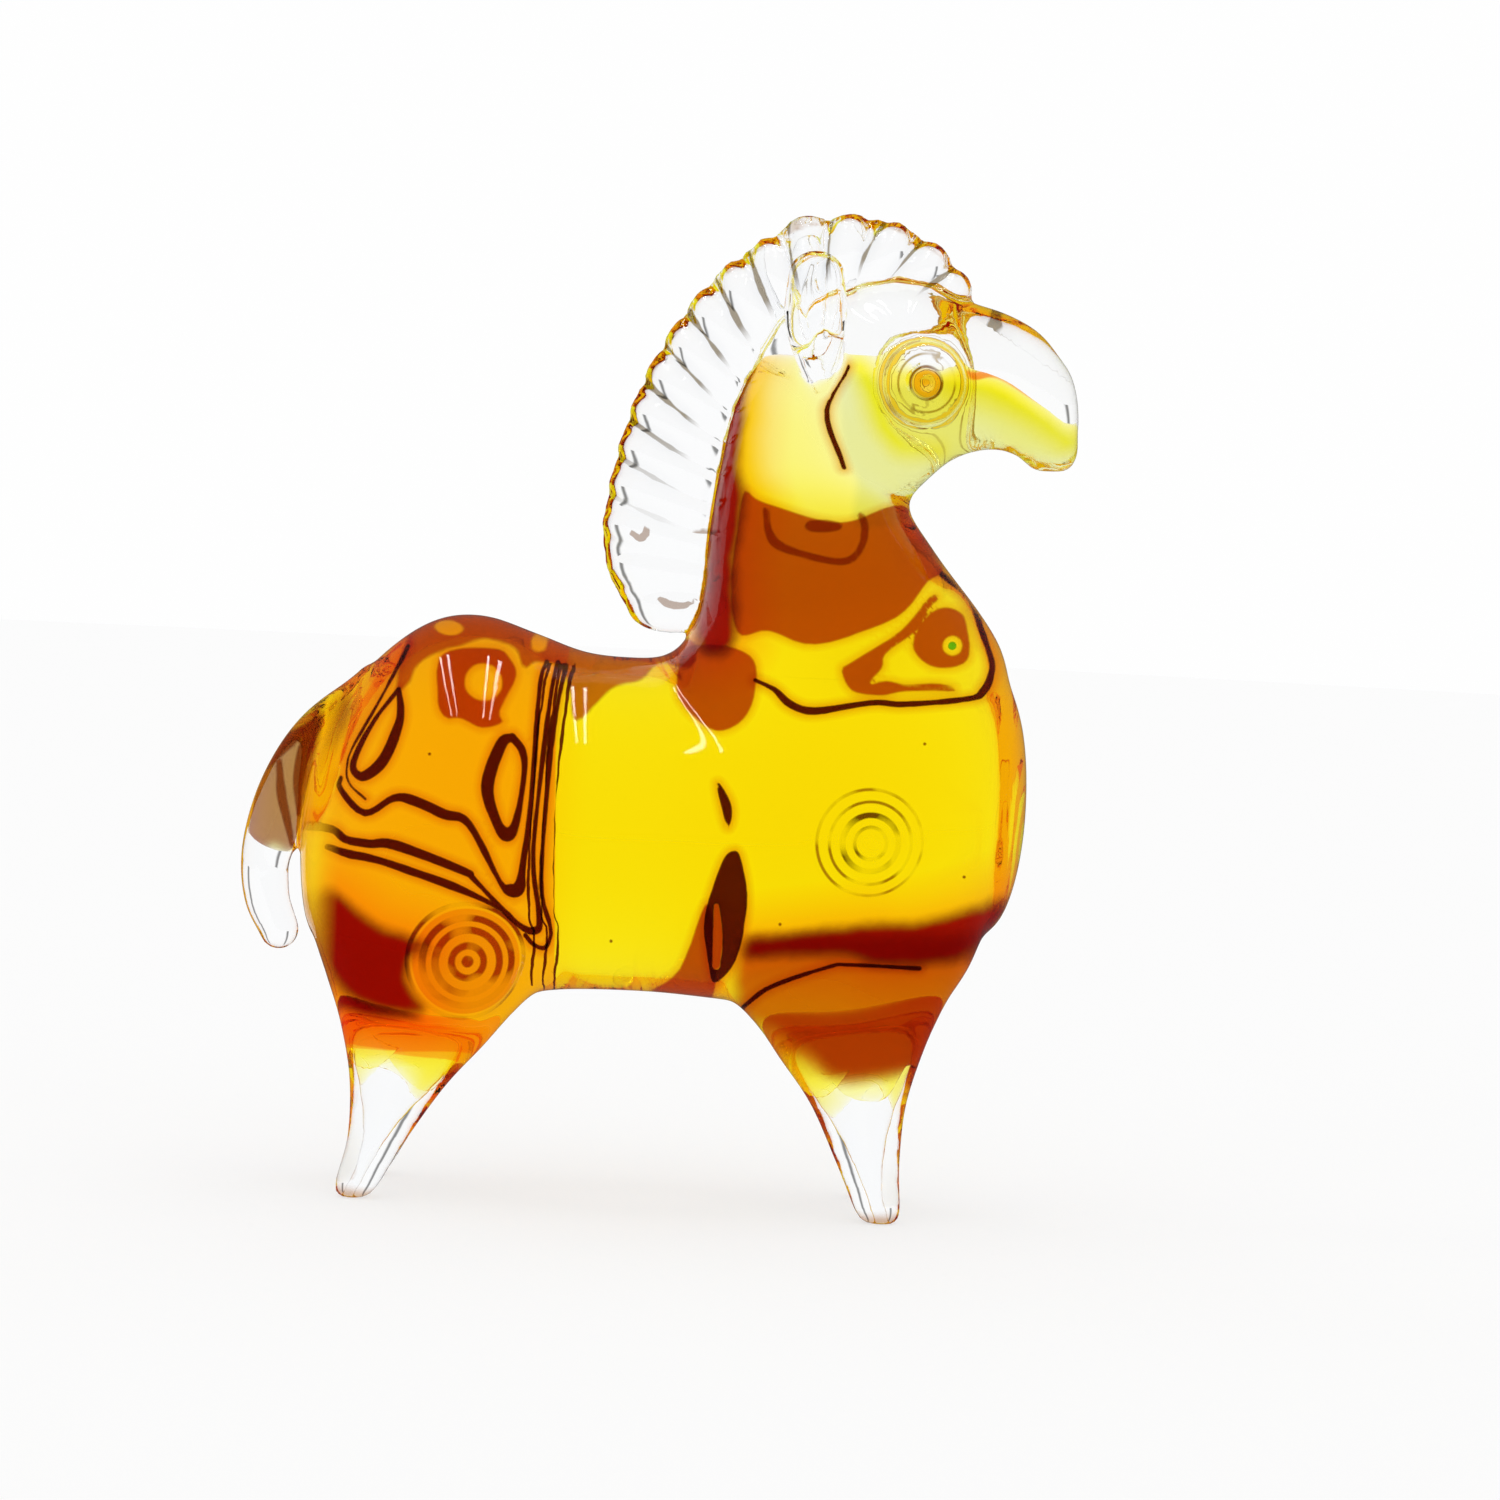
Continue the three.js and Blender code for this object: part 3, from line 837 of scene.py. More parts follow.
# %% Neck and head
neck_brown = [
    (14.5, 128), (12.5, 114.5), (14, 103.5), (19.5, 104), (28, 102), (42, 107.5), (47, 114), (49, 116),
    (43, 124.5), (40.5, 127.5), (33, 124), (27.5, 124), (17.5, 127),
]
neck_dark = [
    (13, 150.5), (11, 145.5), (7, 114.5), (6.5, 103.5), (8.5, 99), (13.5, 102), (13, 116.5), (14.5, 127.5),
    (13.5, 133), (14, 146.5), (15, 150.5),
]
chin_band = [
    (18.5, 125.5, 0.4), (19, 121.5, 0.7), (21.5, 119, 0.7), (30, 117, 0.5), (33.5, 117.5, 0.5),
    (35, 120, 0.5), (35, 123, 0.5), (34, 125, 0.5),
]
smudge = [(26, 123, 0.9), (28.5, 123, 1.1), (30.5, 123, 0.7)]
jaw_line = [(31.5, 151.5, 0.4), (28, 144, 0.4), (30, 136, 0.4), (30.5, 134, 0.4)]
pale_head = [
    (30, 150), (35.5, 151), (41.5, 149.5), (50, 151), (59, 149.5), (73, 141.5), (73.5, 134), (59.5, 134.5),
    (47.5, 129), (42, 123.5), (33, 123), (32, 132), (30, 139),
]
gold_line = [(50.5, 151.5, 0.4), (53, 151.5, 0.5), (59, 151.5, 0.5), (73, 143.5, 0.4)]
lemon_lines = (
    [(14, 151, 4), (12, 144, 5), (12, 136, 5), (14, 129, 4.5), (20, 125, 3)],
    [(33.5, 151.5, 2), (36.5, 147, 2.4), (38, 142.5, 2), (41.5, 139.5, 1.6), (47, 139, 1)],
    [(50, 150, 2), (57, 149.4, 2), (64, 146, 1.8), (71, 141, 1.6)],
)

# %% Tail and mane
tail_patch = [
    (-72.5, 60), (-71.5, 69), (-64.5, 81), (-56.5, 89.5), (-56, 82.5), (-60, 75), (-63, 66.5), (-63.5, 60),
    (-68, 62),
]
tail_streak = [(-61, 84, 0.4), (-66.5, 79, 0.9), (-70.5, 73.5, 0.7), (-72, 67, 0.4)]
tail_shade = [(-58.5, 86, 0.5), (-62.5, 79.5, 1.3), (-64, 73, 1), (-63.5, 67, 0.5)]
tail_contour = [(-67.5, 76, 0.4), (-67, 70, 0.8), (-65.5, 64, 0.6), (-65, 60.5, 0.3)]
mane_arc = [(-6, 120.5, 0.3), (-4.5, 119.5, 0.4), (-3.5, 120.5, 0.4), (-3.5, 121.5, 0.3)]
mane_nick = [(-0.5, 109, 0.3), (1.5, 108, 0.4), (4, 108, 0.4), (6, 109, 0.4)]
mane_dash = [(4.5, 121.5, 0.2), (9, 121.5, 0.3)]

# %% [markdown]
# ## A finer skin where the painted contours run
# A line half a millimetre wide would fray on quads of 0.85 mm, because the stored distance is only
# straight between points. The core's mesh is cut finer along the thin lines, on the side that shows
# them, and left alone elsewhere. Cutting the whole core as fine would cost nine times as many quads.

# %% Cut the skin finer
def points_of(piece):
    points = np.empty(len(piece.data.vertices) * 3)
    piece.data.vertices.foreach_get("co", points)
    return points.reshape(-1, 3) / mm - centring


def refine(piece, chosen, cuts):
    work = bmesh.new()
    work.from_mesh(piece.data)
    edges = [edge for edge in work.edges if chosen[edge.verts[0].index] and chosen[edge.verts[1].index]]
    bmesh.ops.subdivide_edges(work, edges=edges, cuts=cuts, use_grid_fill=True)
    work.to_mesh(piece.data)
    work.free()
    count = sum(len(face.vertices) - 2 for face in piece.data.polygons)
    print(piece.name, "now has", len(piece.data.polygons), "faces,", count, "triangles")


near_line, near_edge = 1.1, 0.9
# Thin dark lines, partly streaks and partly painted refraction.
fold_and_refraction_lines = (loop_left, loop_left_outer, loop_right, jaw_line, chest_contour, chest_arc, wave_top, wave_middle,
              wave_low, seam_left)
rough = points_of(inner)
rough_seen = as_seen(rough)
close = np.min([line_gap(rough_seen, line) for line in fold_and_refraction_lines + (lens_inner,)], axis=0) < near_line
close |= np.abs(patch_gap(rough_seen, lens_patch)) < near_edge
refine(inner, close & (rough[:, 1] < 0), 2)

# %% [markdown]
# ## Distances on the core
# Lines and patches of one colour share one attribute: the smallest of their distances is kept. A patch
# with a hole is the larger of its own distance and the hole's, turned round.

# %% Patches with holes
seen = as_seen(points_of(inner))
top_holes = np.minimum(disc_gap(seen, -38.1, 101.1, 2.4, 0.5), disc_gap(seen, -22.1, 99.2, 1.6))
top_gap = np.maximum(patch_gap(seen, top_brown), -top_holes)
ring_gap = np.maximum(patch_gap(seen, ring_brown), -disc_gap(seen, -31.6, 92, 3.4))
hollow_gap = np.maximum(patch_gap(seen, hollow), 1.7 - disc_gap(seen, 52.2, 102.8, 0))
lens_gap = np.maximum(patch_gap(seen, lens_patch), -line_gap(seen, lens_inner))

# %% Store the distances
def keep(piece, name, gaps):
    gap = np.min(gaps, axis=0).astype(np.float32)
    piece.data.attributes.new(name, "FLOAT", "POINT").data.foreach_set("value", gap)


def lines(*outlines):
    return [line_gap(seen, outline) for outline in outlines]


def patches(*outlines):
    return [patch_gap(seen, outline) for outline in outlines]


keep(inner, "fold_and_refraction", lines(*fold_and_refraction_lines) + [lens_gap] + patches(small_lens))
keep(inner, "wine", patches(red_band, red_left, neck_dark))
keep(inner, "umber", patches(neck_brown, round_brown, tongue, belly_patch) + lines(lens_inner)
     + [hollow_gap, ring_gap])
keep(inner, "bark", lines(chin_band, smudge, tail_streak, tail_shade, tail_contour))
keep(inner, "rust", [top_gap])
keep(inner, "dusk", [patch_gap(seen, tail_patch) - 1])
keep(inner, "honey", patches(rump_patch) + lines(gold_line))
keep(inner, "ember", patches(chest_low))
keep(inner, "pale", [patch_gap(seen, pale_head) + 1])
keep(inner, "lemon", lines(*lemon_lines))

# %% The seam and the view spot
# The seam is several threads side by side, so the distance to one side of it is kept with its sign. The
# view spot is a plain place in the side view, for the few round specks.
seam_low, seam_high = 38, 96
seam_path = between(seam_right, outline_steps)[:, :2]
beside_seam = beside(seen, seam_path)[1]
by_seam = (seen[:, 1] > seam_low) & (seen[:, 1] < seam_high)
keep(inner, "seam", [np.where(by_seam, -beside_seam, unseen)])
view_spots = np.stack([seen[:, 0], np.zeros(len(seen)), seen[:, 1]], axis=1).astype(np.float32)
inner.data.attributes.new("seen", "FLOAT_VECTOR", "POINT").data.foreach_set("vector", view_spots.ravel())
print("stored on the core:", [a.name for a in inner.data.attributes if a.domain == "POINT"])

# %% [markdown]
# ## Marks on the casing
# Between two lobes of the mane the pinched glass bends light so hard that a thin dark line shows. The
# melted relief alone is too soft for that, so the line is painted on as shade: the casing stores how far
# along the mane's middle line a point lies, leaning like the lobes, and how far outside that line. It also
# stores the distance to the mane's beaded edge, for a brown line of painted refraction there, and to three
# small scratches, which are pushed out of reach on the far side.

# %% Store the marks on the casing
flat_view = outer_points[:, [0, 2]]
spine_flat = mane_rows[:, [0, 2]]
along, beyond = beside(flat_view, spine_flat)
spine_length = np.linalg.norm(np.diff(spine_flat, axis=0), axis=1).sum()
lobe_pitch = spine_length / (lobe_count - 1)
flute_lean, scratch_half = 0.31, 0.15
keep(outer, "flute", [along - flute_lean * beyond])
keep(outer, "beyond", [beyond])
keep(outer, "edge", [line_gap(flat_view, [(x, z, 0.0) for x, z in rim_rows[::12][:, [0, 2]]])])
out_of_reach = np.where(outer_points[:, 1] < 0, 0.0, 9.0)
scratches = (mane_arc, mane_nick, mane_dash)
keep(outer, "scratch", [line_gap(flat_view, line) - scratch_half + out_of_reach for line in scratches])
print("one lobe every", round(lobe_pitch, 2), "mm")

# %% [markdown]
# ## Helpers for colour
# A shader mixes its colour step by step, and each step is one of a few moves: a sum, a ramp from 0 to 1
# between two distances, a bit of noise, a stored distance, or a tint laid over the colour so far.

# %% Small moves in a shader
def calc(tree, operation, *values, clamp=False):
    made = node(tree, "ShaderNodeMath", dict(enumerate(values)), operation=operation, use_clamp=clamp)
    return made.outputs[0]


def ramp(tree, value, start, end, low=0.0, top=1.0, smooth=True):
    return node(tree, "ShaderNodeMapRange", {
        "Value": value, "From Min": start, "From Max": end, "To Min": low, "To Max": top},
        interpolation_type="SMOOTHSTEP" if smooth else "LINEAR").outputs[0]


def grain(tree, place, scale, detail=2.0):
    return node(tree, "ShaderNodeTexNoise", {
        "Vector": place, "Scale": scale, "Detail": detail}).outputs["Fac"]


def stored(tree, name, output="Fac"):
    return node(tree, "ShaderNodeAttribute", attribute_name=name).outputs[output]


def tinted(tree, colour, amount, tint):
    return node(tree, "ShaderNodeMix", {0: amount, 6: colour, 7: (*tint, 1)},
                data_type="RGBA", blend_type="MULTIPLY").outputs[2]


def distance(tree, a, b):
    return node(tree, "ShaderNodeVectorMath", {0: a, 1: b}, operation="DISTANCE").outputs["Value"]


# %% [markdown]
# ## Clear glass: rings
# The stamped rings show as thin dark circles where the relief turns light away; these circles are painted
# shade, tints around the middle of each pad. The eye's are on both sides, and the others only on the side
# that the photo shows, because a ring on the far side would be seen through the horse. Thin marks are
# broken up by a little noise. A wide one, such as the brown of the eye, fills only what lies below the brow.

# %% Clear glass: rings
place = node(clear_tree, "ShaderNodeTexCoord").outputs["Object"]
x_at, y_at, z_at = node(clear_tree, "ShaderNodeSeparateXYZ", {0: place}).outputs
folded = node(clear_tree, "ShaderNodeCombineXYZ", {
    "X": x_at, "Y": calc(clear_tree, "ABSOLUTE", y_at), "Z": z_at}).outputs[0]
patchy = ramp(clear_tree, grain(clear_tree, place, 110.0), 0.4, 0.56, low=0.15, smooth=False)
below_brow = ramp(clear_tree, z_at, 153.5 * mm, 151 * mm)
ring_blur = 0.15
# The thin dark rings in these tables are painted shade.
eye_tints_and_ring_shade = ((0, 2.7, (0.9, 0.45, 0.01)), (2.9, 0.28, (0.12, 0.03, 0.0)), (5.2, 2.4, (0.97, 0.9, 0.25)),
             (5.2, 0.22, (0.3, 0.17, 0.03)), (7.6, 0.3, (0.4, 0.2, 0.03)))
shoulder_ring_shade = ((2.9, 0.34, (0.04, 0.012, 0.0)), (5.0, 0.5, (0.03, 0.008, 0.0)),
                  (7.3, 0.28, (0.15, 0.06, 0.01)), (9.4, 0.28, (0.2, 0.08, 0.03)))
haunch_tints_and_ring_shade = ((4.6, 5.0, (0.86, 0.42, 0.2)), (1.5, 0.5, (0.2, 0.02, 0.0)), (3.5, 0.5, (0.2, 0.02, 0.0)),
                (6.0, 0.6, (0.2, 0.02, 0.0)), (8.1, 0.6, (0.15, 0.015, 0.0)), (10.4, 0.4, (0.1, 0.01, 0.0)))


def ringed(colour, from_middle, marks):
    for radius, half, tint in marks:
        off = calc(clear_tree, "ABSOLUTE", calc(clear_tree, "SUBTRACT", from_middle, radius * mm))
        mark = ramp(clear_tree, off, (half + ring_blur) * mm, (half - ring_blur) * mm)
        amount = calc(clear_tree, "MULTIPLY", mark, patchy if half < 1 else below_brow)
        colour = tinted(clear_tree, colour, amount, tint)
    return colour


colour = ringed((0.985, 0.99, 0.995, 1), distance(clear_tree, folded, tuple(eye_at)), eye_tints_and_ring_shade)
for middle, marks in ((shoulder_at, shoulder_ring_shade), (haunch_at, haunch_tints_and_ring_shade)):
    near_middle = (middle[0], -middle[1], middle[2])
    colour = ringed(colour, distance(clear_tree, place, near_middle), marks)

# %% [markdown]
# ## Clear glass: pinches, edge and feet
# A ping-pong of the distance along the mane gives a thin line once every lobe. Each line is painted shade:
# a broad grey shade with a dark thread in it. It shows only on the near side and the outer half of the
# mane, and fades out toward the mane's foot. Then come the brown line of painted refraction along the
# beaded edge, the scratches, and a brown tint that darkens the ground feet toward their soles.

# %% Clear glass: pinches
fold_and_refraction = calc(clear_tree, "PINGPONG", stored(clear_tree, "flute"), lobe_pitch / 2)
wavy_fold = calc(clear_tree, "MULTIPLY_ADD", grain(clear_tree, place, 150.0), 1.6, fold_and_refraction)
outer_half = ramp(clear_tree, stored(clear_tree, "beyond"), -3.5, 0.5)
on_near = ramp(clear_tree, y_at, 0.0, -0.001, smooth=False)
above_foot = ramp(clear_tree, z_at, 0.118, 0.14, smooth=False)
window = calc(clear_tree, "MULTIPLY", calc(clear_tree, "MULTIPLY", outer_half, on_near), above_foot)
line_at = lobe_pitch / 2 + 0.8
# Painted shade along each pinch: a broad grey shade and a dark thread.
painted_pinch_shades = ((2.4, 0.0, 0.9, (0.87, 0.88, 0.9)), (0.46, 0.2, 1.0, (0.16, 0.12, 0.07)))
for before, full, share, tint in painted_pinch_shades:
    mark = ramp(clear_tree, wavy_fold, line_at - before, line_at - full, top=share)
    colour = tinted(clear_tree, colour, calc(clear_tree, "MULTIPLY", mark, window), tint)

# %% Clear glass: edge, scratches and feet
# The edge line is painted refraction.
small_marks = (("edge", 1.2, 0.3, (0.45, 0.24, 0.1)), ("scratch", 0.7, 0.5, (0.3, 0.2, 0.15)))
for label, start, end, tint in small_marks:
    moved = calc(clear_tree, "MULTIPLY_ADD", grain(clear_tree, place, 220.0), 1.2, stored(clear_tree, label))
    colour = tinted(clear_tree, colour, ramp(clear_tree, moved, start, end), tint)
colour = tinted(clear_tree, colour, ramp(clear_tree, z_at, 2.6 * mm, 0.4 * mm), (0.55, 0.3, 0.15))
clear_tree.links.new(colour, clear_shader.inputs["Base Color"])
outer.data.materials.append(clear)
print("clear glass has", len(clear_tree.nodes), "nodes")

# %% [markdown]
# ## Stains and painted refraction as a node group
# Every dark contour and patch in the amber, partly stain and partly painted refraction, is the same effect
# with other numbers: a stored distance, how soft its edge is, where it may be crisp, and how much of it a
# far side keeps as a vague cloud. So it is one group that gives a mask. The last step, a power, makes the
# mask gather quickly, as colour does in deep glass.

# %% Stains and painted refraction as a node group
stain_and_refraction = bpy.data.node_groups.new("stain_and_refraction", "ShaderNodeTree")
for label in ("Gap", "Soft", "Near", "Far share"):
    stain_and_refraction.interface.new_socket(label, in_out="INPUT", socket_type="NodeSocketFloat")
stain_and_refraction.interface.new_socket("Mask", in_out="OUTPUT", socket_type="NodeSocketFloat")
asked = stain_and_refraction.nodes.new("NodeGroupInput").outputs
vague_reach = 7.0
crisp = ramp(stain_and_refraction, asked["Gap"], asked["Soft"], calc(stain_and_refraction, "MULTIPLY", asked["Soft"], -1.0))
vague = ramp(stain_and_refraction, asked["Gap"], vague_reach, -vague_reach, top=asked["Far share"])
both = node(stain_and_refraction, "ShaderNodeMix", {0: asked["Near"], 2: vague, 3: crisp}).outputs[0]
rest = calc(stain_and_refraction, "POWER", calc(stain_and_refraction, "SUBTRACT", 1.0, both), 2.2)
stain_and_refraction.links.new(calc(stain_and_refraction, "SUBTRACT", 1.0, rest), stain_and_refraction.nodes.new("NodeGroupOutput").inputs["Mask"])

# %% [markdown]
# ## Amber glass
# The amber itself is deep, so its colour is an absorption inside the volume: thick parts go from lemon to
# gold, as they do in the photo. Its index is near 1, because the two glasses are fused and light doesn't
# bend where they meet. The stains and painted refraction sit on its skin. Some masks say where the skin
# faces the photo's side: by depth on the body, by a sharp middle line on the slim tail and head, and over
# the top of the back, where the brown runs across to the far side.

# %% Amber glass: plain values and depth
amber, amber_tree, amber_shader = new_material("amber glass")
amber_shader.inputs["Roughness"].default_value = 0
amber_shader.inputs["IOR"].default_value = 1.01
amber_shader.inputs["Transmission Weight"].default_value = 1
depth = node(amber_tree, "ShaderNodeVolumeAbsorption", {
    "Color": (0.9966, 0.9566, 0.033, 1), "Density": 140.0})
amber_tree.links.new(depth.outputs[0], amber_tree.nodes["Material Output"].inputs["Volume"])

# %% Amber glass: where the near side is
place = node(amber_tree, "ShaderNodeTexCoord").outputs["Object"]
x_at, y_at, z_at = node(amber_tree, "ShaderNodeSeparateXYZ", {0: place}).outputs
facing_photo = ramp(amber_tree, y_at, 0.001, -0.005)
sharp_middle = ramp(amber_tree, y_at, 0.0005, -0.0005, smooth=False)
on_tail = ramp(amber_tree, x_at, -0.0585, -0.0605, smooth=False)
in_head = ramp(amber_tree, z_at, 0.112, 0.12, smooth=False)
before_tail = ramp(amber_tree, x_at, -0.0585, -0.0535, smooth=False)
slim = calc(amber_tree, "MULTIPLY", calc(amber_tree, "MAXIMUM", on_tail, in_head), sharp_middle)
near = calc(amber_tree, "MAXIMUM", calc(amber_tree, "MULTIPLY", facing_photo, before_tail), slim)
high = ramp(amber_tree, z_at, 0.082, 0.094, smooth=False)
over_top = calc(amber_tree, "MULTIPLY", ramp(amber_tree, y_at, 0.020, 0.008), high)
near_top = calc(amber_tree, "MAXIMUM", near, calc(amber_tree, "MULTIPLY", over_top, before_tail))

# %% [markdown]
# ## Amber glass: stains and painted refraction
# The table names each mark's attribute, the softness of its edge in millimetres, how much its edge
# wobbles, how much the far side keeps, and its tint. The order doesn't matter, since tints multiply. The
# darkest marks also get a painted halo, partly colour that bleeds a little into the glass around them and
# partly painted refraction.

# %% Amber glass: stains and painted refraction
wobble = calc(amber_tree, "MULTIPLY_ADD", grain(amber_tree, place, 160.0, 3.0), 1.4, -0.7)
# The dark tints here are partly stain and partly painted refraction.
stains_and_refraction = (
    ("pale", 1.4, 0.4, 0.0, (0.71, 0.80, 1.0)), ("lemon", 3.0, 1.0, 0.0, (1.0, 0.9, 0.002)),
    ("honey", 0.25, 0.0, 0.15, (0.97, 0.36, 0.2)), ("ember", 2.4, 0.8, 0.1, (0.42, 0.05, 0.01)),
    ("rust", 0.5, 0.8, 0.1, (0.30, 0.04, 0.015)), ("dusk", 2.2, 2.0, 0.0, (0.2, 0.06, 0.06)),
    ("umber", 0.3, 0.3, 0.1, (0.32, 0.028, 0.002)), ("wine", 1.8, 1.2, 0.1, (0.10, 0.0001, 0.0)),
    ("bark", 0.3, 0.5, 0.0, (0.25, 0.05, 0.01)), ("fold_and_refraction", 0.14, 0.35, 0.0, (0.012, 0.0004, 0.0)))
colour = (1, 1, 1, 1)
for label, soft, wobbly, far_share, tint in stains_and_refraction:
    gap = calc(amber_tree, "MULTIPLY_ADD", wobble, wobbly, stored(amber_tree, label))
    mask = node(amber_tree, "ShaderNodeGroup", node_tree=stain_and_refraction)
    mask.inputs["Soft"].default_value = soft
    mask.inputs["Far share"].default_value = far_share
    amber_tree.links.new(gap, mask.inputs["Gap"])
    amber_tree.links.new(near_top if label in ("rust", "honey") else near, mask.inputs["Near"])
    colour = tinted(amber_tree, colour, mask.outputs["Mask"], tint)
# Painted halo round the darkest marks, partly bled colour and partly painted refraction.
for label, reach, tint in (("wine", 9.0, (1.0, 0.35, 0.1)), ("umber", 1.6, (0.8, 0.4, 0.1)),
                           ("fold_and_refraction", 1.6, (0.75, 0.3, 0.05))):
    halo = ramp(amber_tree, stored(amber_tree, label), reach, 0.0, smooth=False)
    colour = tinted(amber_tree, colour, calc(amber_tree, "MULTIPLY", halo, near), tint)

# %% [markdown]
# ## Amber glass: specks and seam
# The photo shows five dark specks and one green dot in the amber. The seam in front of the haunch is a
# bundle of painted dark threads, partly streaks and partly painted refraction: a ping-pong of the distance
# beside it draws one thread every 2.2 mm, and a broad noise makes each swell and fade.

# %% Amber glass: specks
green_dot = (52.2, 102.8, 0.75, (0.02, 0.35, 0.5))
specks = ((56.5, 61.5), (48.4, 85.0), (24.1, 51.3), (-40.6, 78.7), (-6.3, 46.8))
view_spot = stored(amber_tree, "seen", "Vector")
for x, z, radius, tint in [green_dot] + [(x, z, 0.3, (0.1, 0.02, 0)) for x, z in specks]:
    away = distance(amber_tree, view_spot, (x, 0, z))
    dot = ramp(amber_tree, away, radius + 0.12, radius - 0.12, smooth=False)
    colour = tinted(amber_tree, colour, calc(amber_tree, "MULTIPLY", dot, near), tint)

# %% Amber glass: seam
half_spacing, seam_middle, seam_half = 1.1, 2.2, 2.7
beside_line = stored(amber_tree, "seam")
wavy = calc(amber_tree, "MULTIPLY_ADD", wobble, 0.9, beside_line)
threads = calc(amber_tree, "PINGPONG", wavy, half_spacing)
swelling = calc(amber_tree, "MULTIPLY_ADD", grain(amber_tree, place, 60.0), 1.1, -0.22)
thread = ramp(amber_tree, threads, swelling, calc(amber_tree, "SUBTRACT", swelling, 0.14))
on_seam = calc(amber_tree, "COMPARE", beside_line, seam_middle, seam_half)
amount = calc(amber_tree, "MULTIPLY", calc(amber_tree, "MULTIPLY", thread, on_seam), near)
# The seam's dark threads: partly streaks and partly painted refraction.
colour = tinted(amber_tree, colour, amount, (0.02, 0.001, 0.0))

# %% [markdown]
# ## Amber glass: the first pass only
# Light that bounces about inside the horse meets the core again and again, and would be tinted each
# time, until the edges are black. The stains and painted refraction therefore act on light that goes
# through for the first time. After that the core is plain amber.

# %% Amber glass: the first pass only
passes = node(amber_tree, "ShaderNodeLightPath").outputs["Transmission Depth"]
first_pass = calc(amber_tree, "LESS_THAN", passes, 2.5)
shown_colour = node(amber_tree, "ShaderNodeMix", {0: first_pass, 6: (1, 1, 1, 1), 7: colour},
                    data_type="RGBA")
amber_tree.links.new(shown_colour.outputs[2], amber_shader.inputs["Base Color"])
inner.data.materials.append(amber)
print("amber glass has", len(amber_tree.nodes), "nodes")

# %% [markdown]
# ## Studio
# Glass shows what is around it. The photo's room is white on all sides, with darker gaps between the
# lamps that draw the dark rims, and thin tubes overhead that show as pairs of white strips. A world made
# from directions can do all this without a lamp: `wide_gap` and `thin_gap` are the dark gaps, and `tubes`
# the strips. The gaps are seen through the glass only, and the strips in its mirror only, so the
# background stays white.

# %% Studio: bands of direction
world = bpy.data.worlds.new("studio")
world.use_nodes = True
sky = world.node_tree
for made in list(sky.nodes):
    sky.nodes.remove(made)
direction = node(sky, "ShaderNodeTexCoord").outputs["Generated"]
x, y, z = node(sky, "ShaderNodeSeparateXYZ", {0: direction}).outputs


def band(value, middle, half, blur):
    off = calc(sky, "ABSOLUTE", calc(sky, "SUBTRACT", value, middle))
    return ramp(sky, off, half + blur, half - blur)


def two_bands(value, first, second, half, blur):
    return calc(sky, "MAXIMUM", band(value, math.radians(first), half, blur),
                band(value, math.radians(second), half, blur))


# %% Studio: dark gaps
# Directions are in degrees round the horse, and the half widths and blurs after them in radians.
turn = calc(sky, "ABSOLUTE", calc(sky, "ARCTAN2", y, x))
wide_gap = two_bands(turn, 22.5, 157.5, 0.11, 0.05)
thin_gap = calc(sky, "MULTIPLY", two_bands(turn, 67.5, 112.5, 0.04, 0.03), 0.75)
low_gap = band(z, 0.0, 0.65, 0.15)
dark = calc(sky, "MULTIPLY", calc(sky, "MAXIMUM", wide_gap, thin_gap), low_gap)
path = node(sky, "ShaderNodeLightPath").outputs
shallow = calc(sky, "LESS_THAN", path["Transmission Depth"], 3.5)
lit = calc(sky, "SUBTRACT", 1.0, calc(sky, "MULTIPLY", dark, shallow))
through = calc(sky, "MAXIMUM", lit, path["Is Camera Ray"])

# %% Studio: strips overhead
strip_gain, dim_room = 34.0, 0.1
across = calc(sky, "DIVIDE", x, calc(sky, "MAXIMUM", z, 0.05))
ahead = calc(sky, "DIVIDE", y, calc(sky, "MAXIMUM", z, 0.05))
from_middle = calc(sky, "ABSOLUTE", calc(sky, "ADD", across, 0.1))
pairs = calc(sky, "ABSOLUTE", calc(sky, "SUBTRACT", from_middle, 0.32))
tubes = calc(sky, "MULTIPLY", band(pairs, 0.06, 0.016, 0.004), band(ahead, -0.4, 0.5, 0.02))
sheen = calc(sky, "ADD", calc(sky, "MULTIPLY", tubes, strip_gain), dim_room)
not_through = calc(sky, "SUBTRACT", 1.0, path["Is Transmission Ray"])
mirrored = calc(sky, "MULTIPLY", path["Is Glossy Ray"], not_through)
plain = calc(sky, "MULTIPLY", through, calc(sky, "SUBTRACT", 1.0, mirrored))
strength = calc(sky, "ADD", plain, calc(sky, "MULTIPLY", sheen, mirrored))
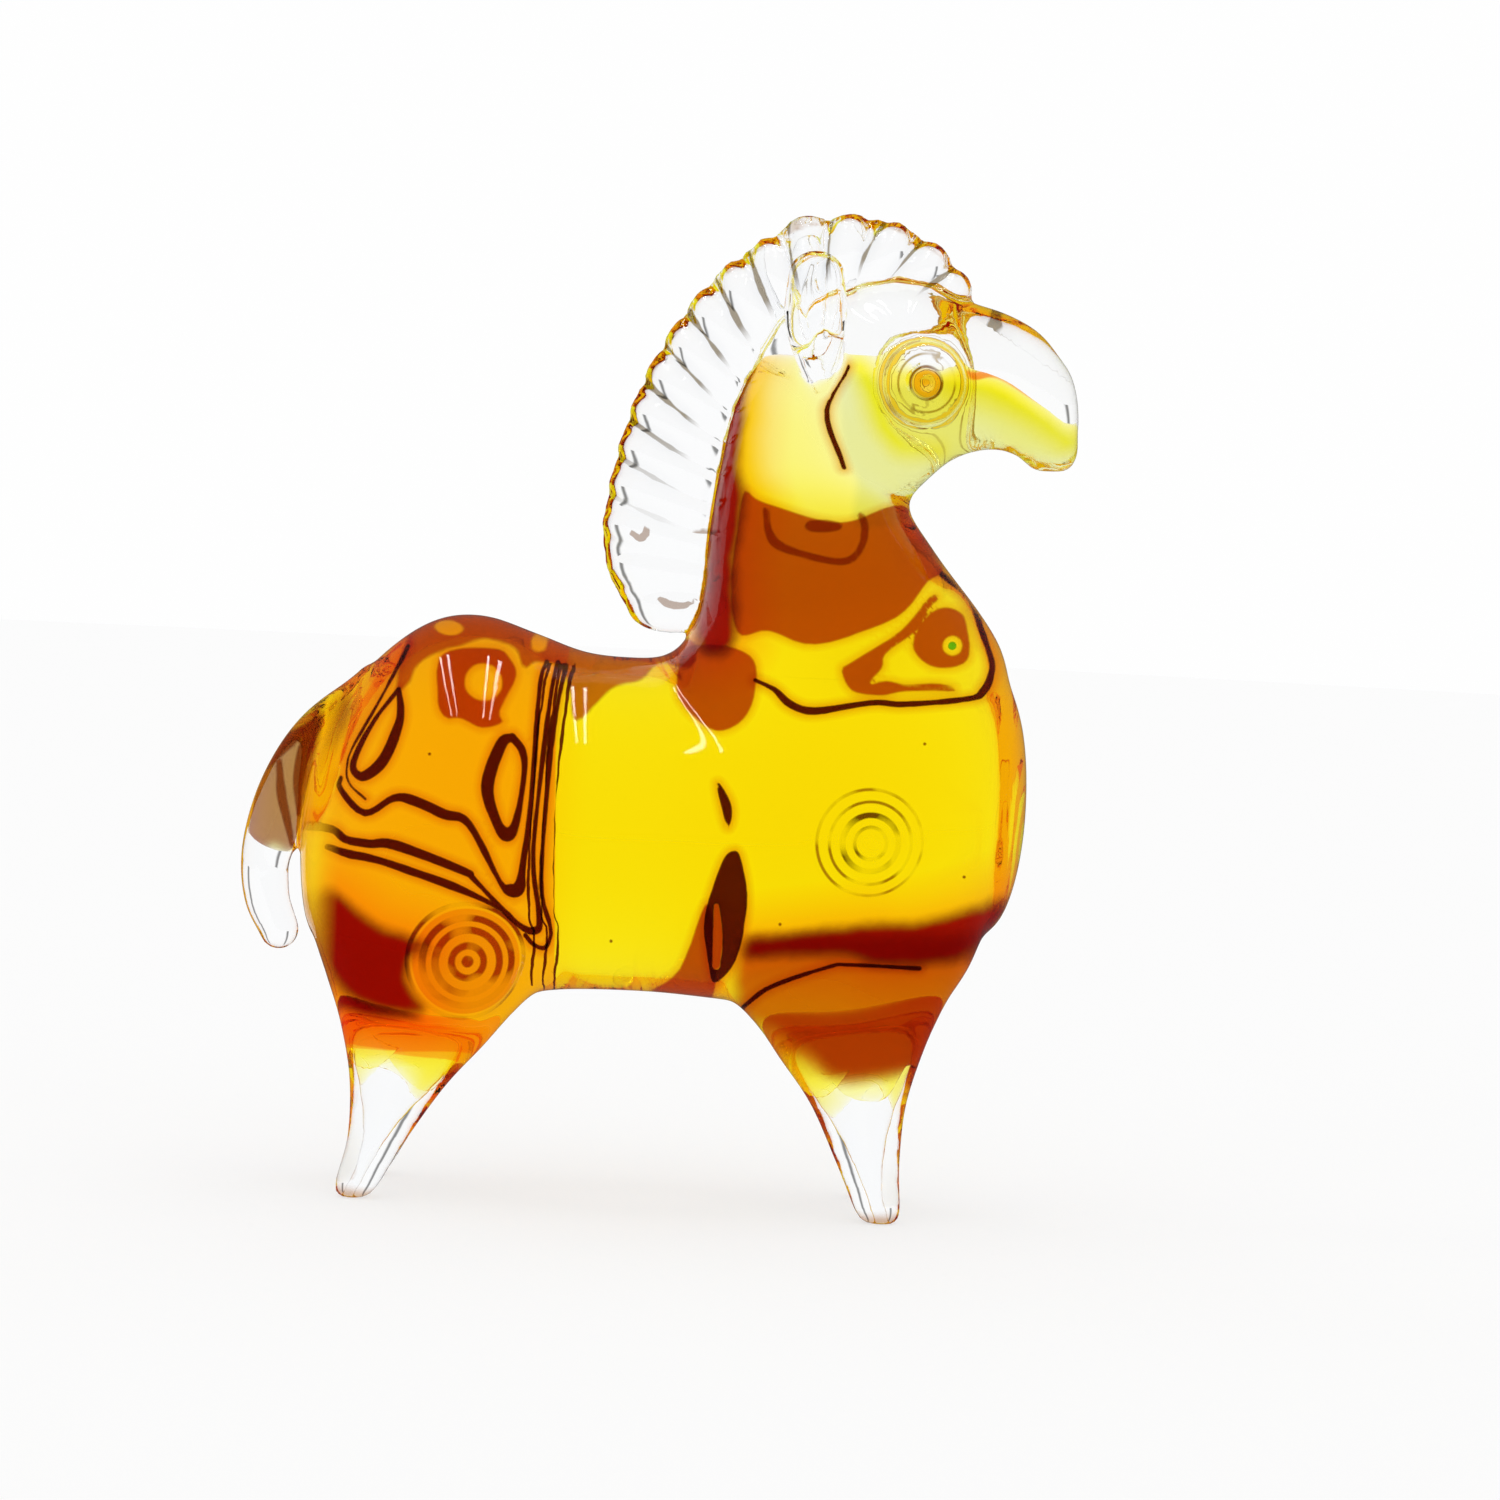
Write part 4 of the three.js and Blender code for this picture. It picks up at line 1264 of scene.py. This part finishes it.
background = node(sky, "ShaderNodeBackground", {"Color": (0.993, 0.993, 0.993, 1), "Strength": strength})
node(sky, "ShaderNodeOutputWorld", {"Surface": background.outputs[0]})
bpy.context.scene.world = world
print("studio has", len(sky.nodes), "nodes")

# %% [markdown]
# ## Light paths
# Light in solid glass turns many times before it gets out. A path that is cut short is black, and would
# leave dark bits along the edges, so the scene lets it bounce longer. The plain Standard view keeps the
# paper white and the amber as bright as it is.

# %% Light paths
scene = bpy.context.scene
scene.cycles.max_bounces = 32
scene.cycles.transmission_bounces = 32
scene.cycles.glossy_bounces = 24
scene.view_settings.view_transform = "Standard"

# %% [markdown]
# ## Floor
# The horse stands on white paper that runs out of sight. A disc that glows by itself gives that even
# white and still takes a soft shadow. In the glass's mirror it glows less, as paper under a figure does.

# %% Floor
floor_sides, floor_radius = 96, 3
floor_mesh = bpy.data.meshes.new("floor")
turns = np.linspace(0, 2 * np.pi, floor_sides, endpoint=False)
floor_mesh.from_pydata([(floor_radius * math.cos(a), floor_radius * math.sin(a), 0) for a in turns], [],
                       [tuple(range(floor_sides))])
floor = bpy.data.objects.new("floor", floor_mesh)
scene.collection.objects.link(floor)

# %% White paper
paper, paper_tree, paper_shader = new_material("paper floor")
paper_shader.inputs["Roughness"].default_value = 1
paper_shader.inputs["Specular IOR Level"].default_value = 0
paper_shader.inputs["Emission Color"].default_value = (1, 1, 1, 1)
path = node(paper_tree, "ShaderNodeLightPath").outputs
in_mirror = calc(paper_tree, "SUBTRACT", path["Is Glossy Ray"], path["Is Transmission Ray"], clamp=True)
glow = calc(paper_tree, "MULTIPLY_ADD", in_mirror, -0.62, 0.66)
paper_tree.links.new(glow, paper_shader.inputs["Emission Strength"])
grey = node(paper_tree, "ShaderNodeMix", {0: in_mirror, 6: (0.34, 0.34, 0.34, 1), 7: (0.06, 0.06, 0.06, 1)},
            data_type="RGBA")
paper_tree.links.new(grey.outputs[2], paper_shader.inputs["Base Color"])
floor_mesh.materials.append(paper)
print("floor", 2 * floor_radius, "m across")
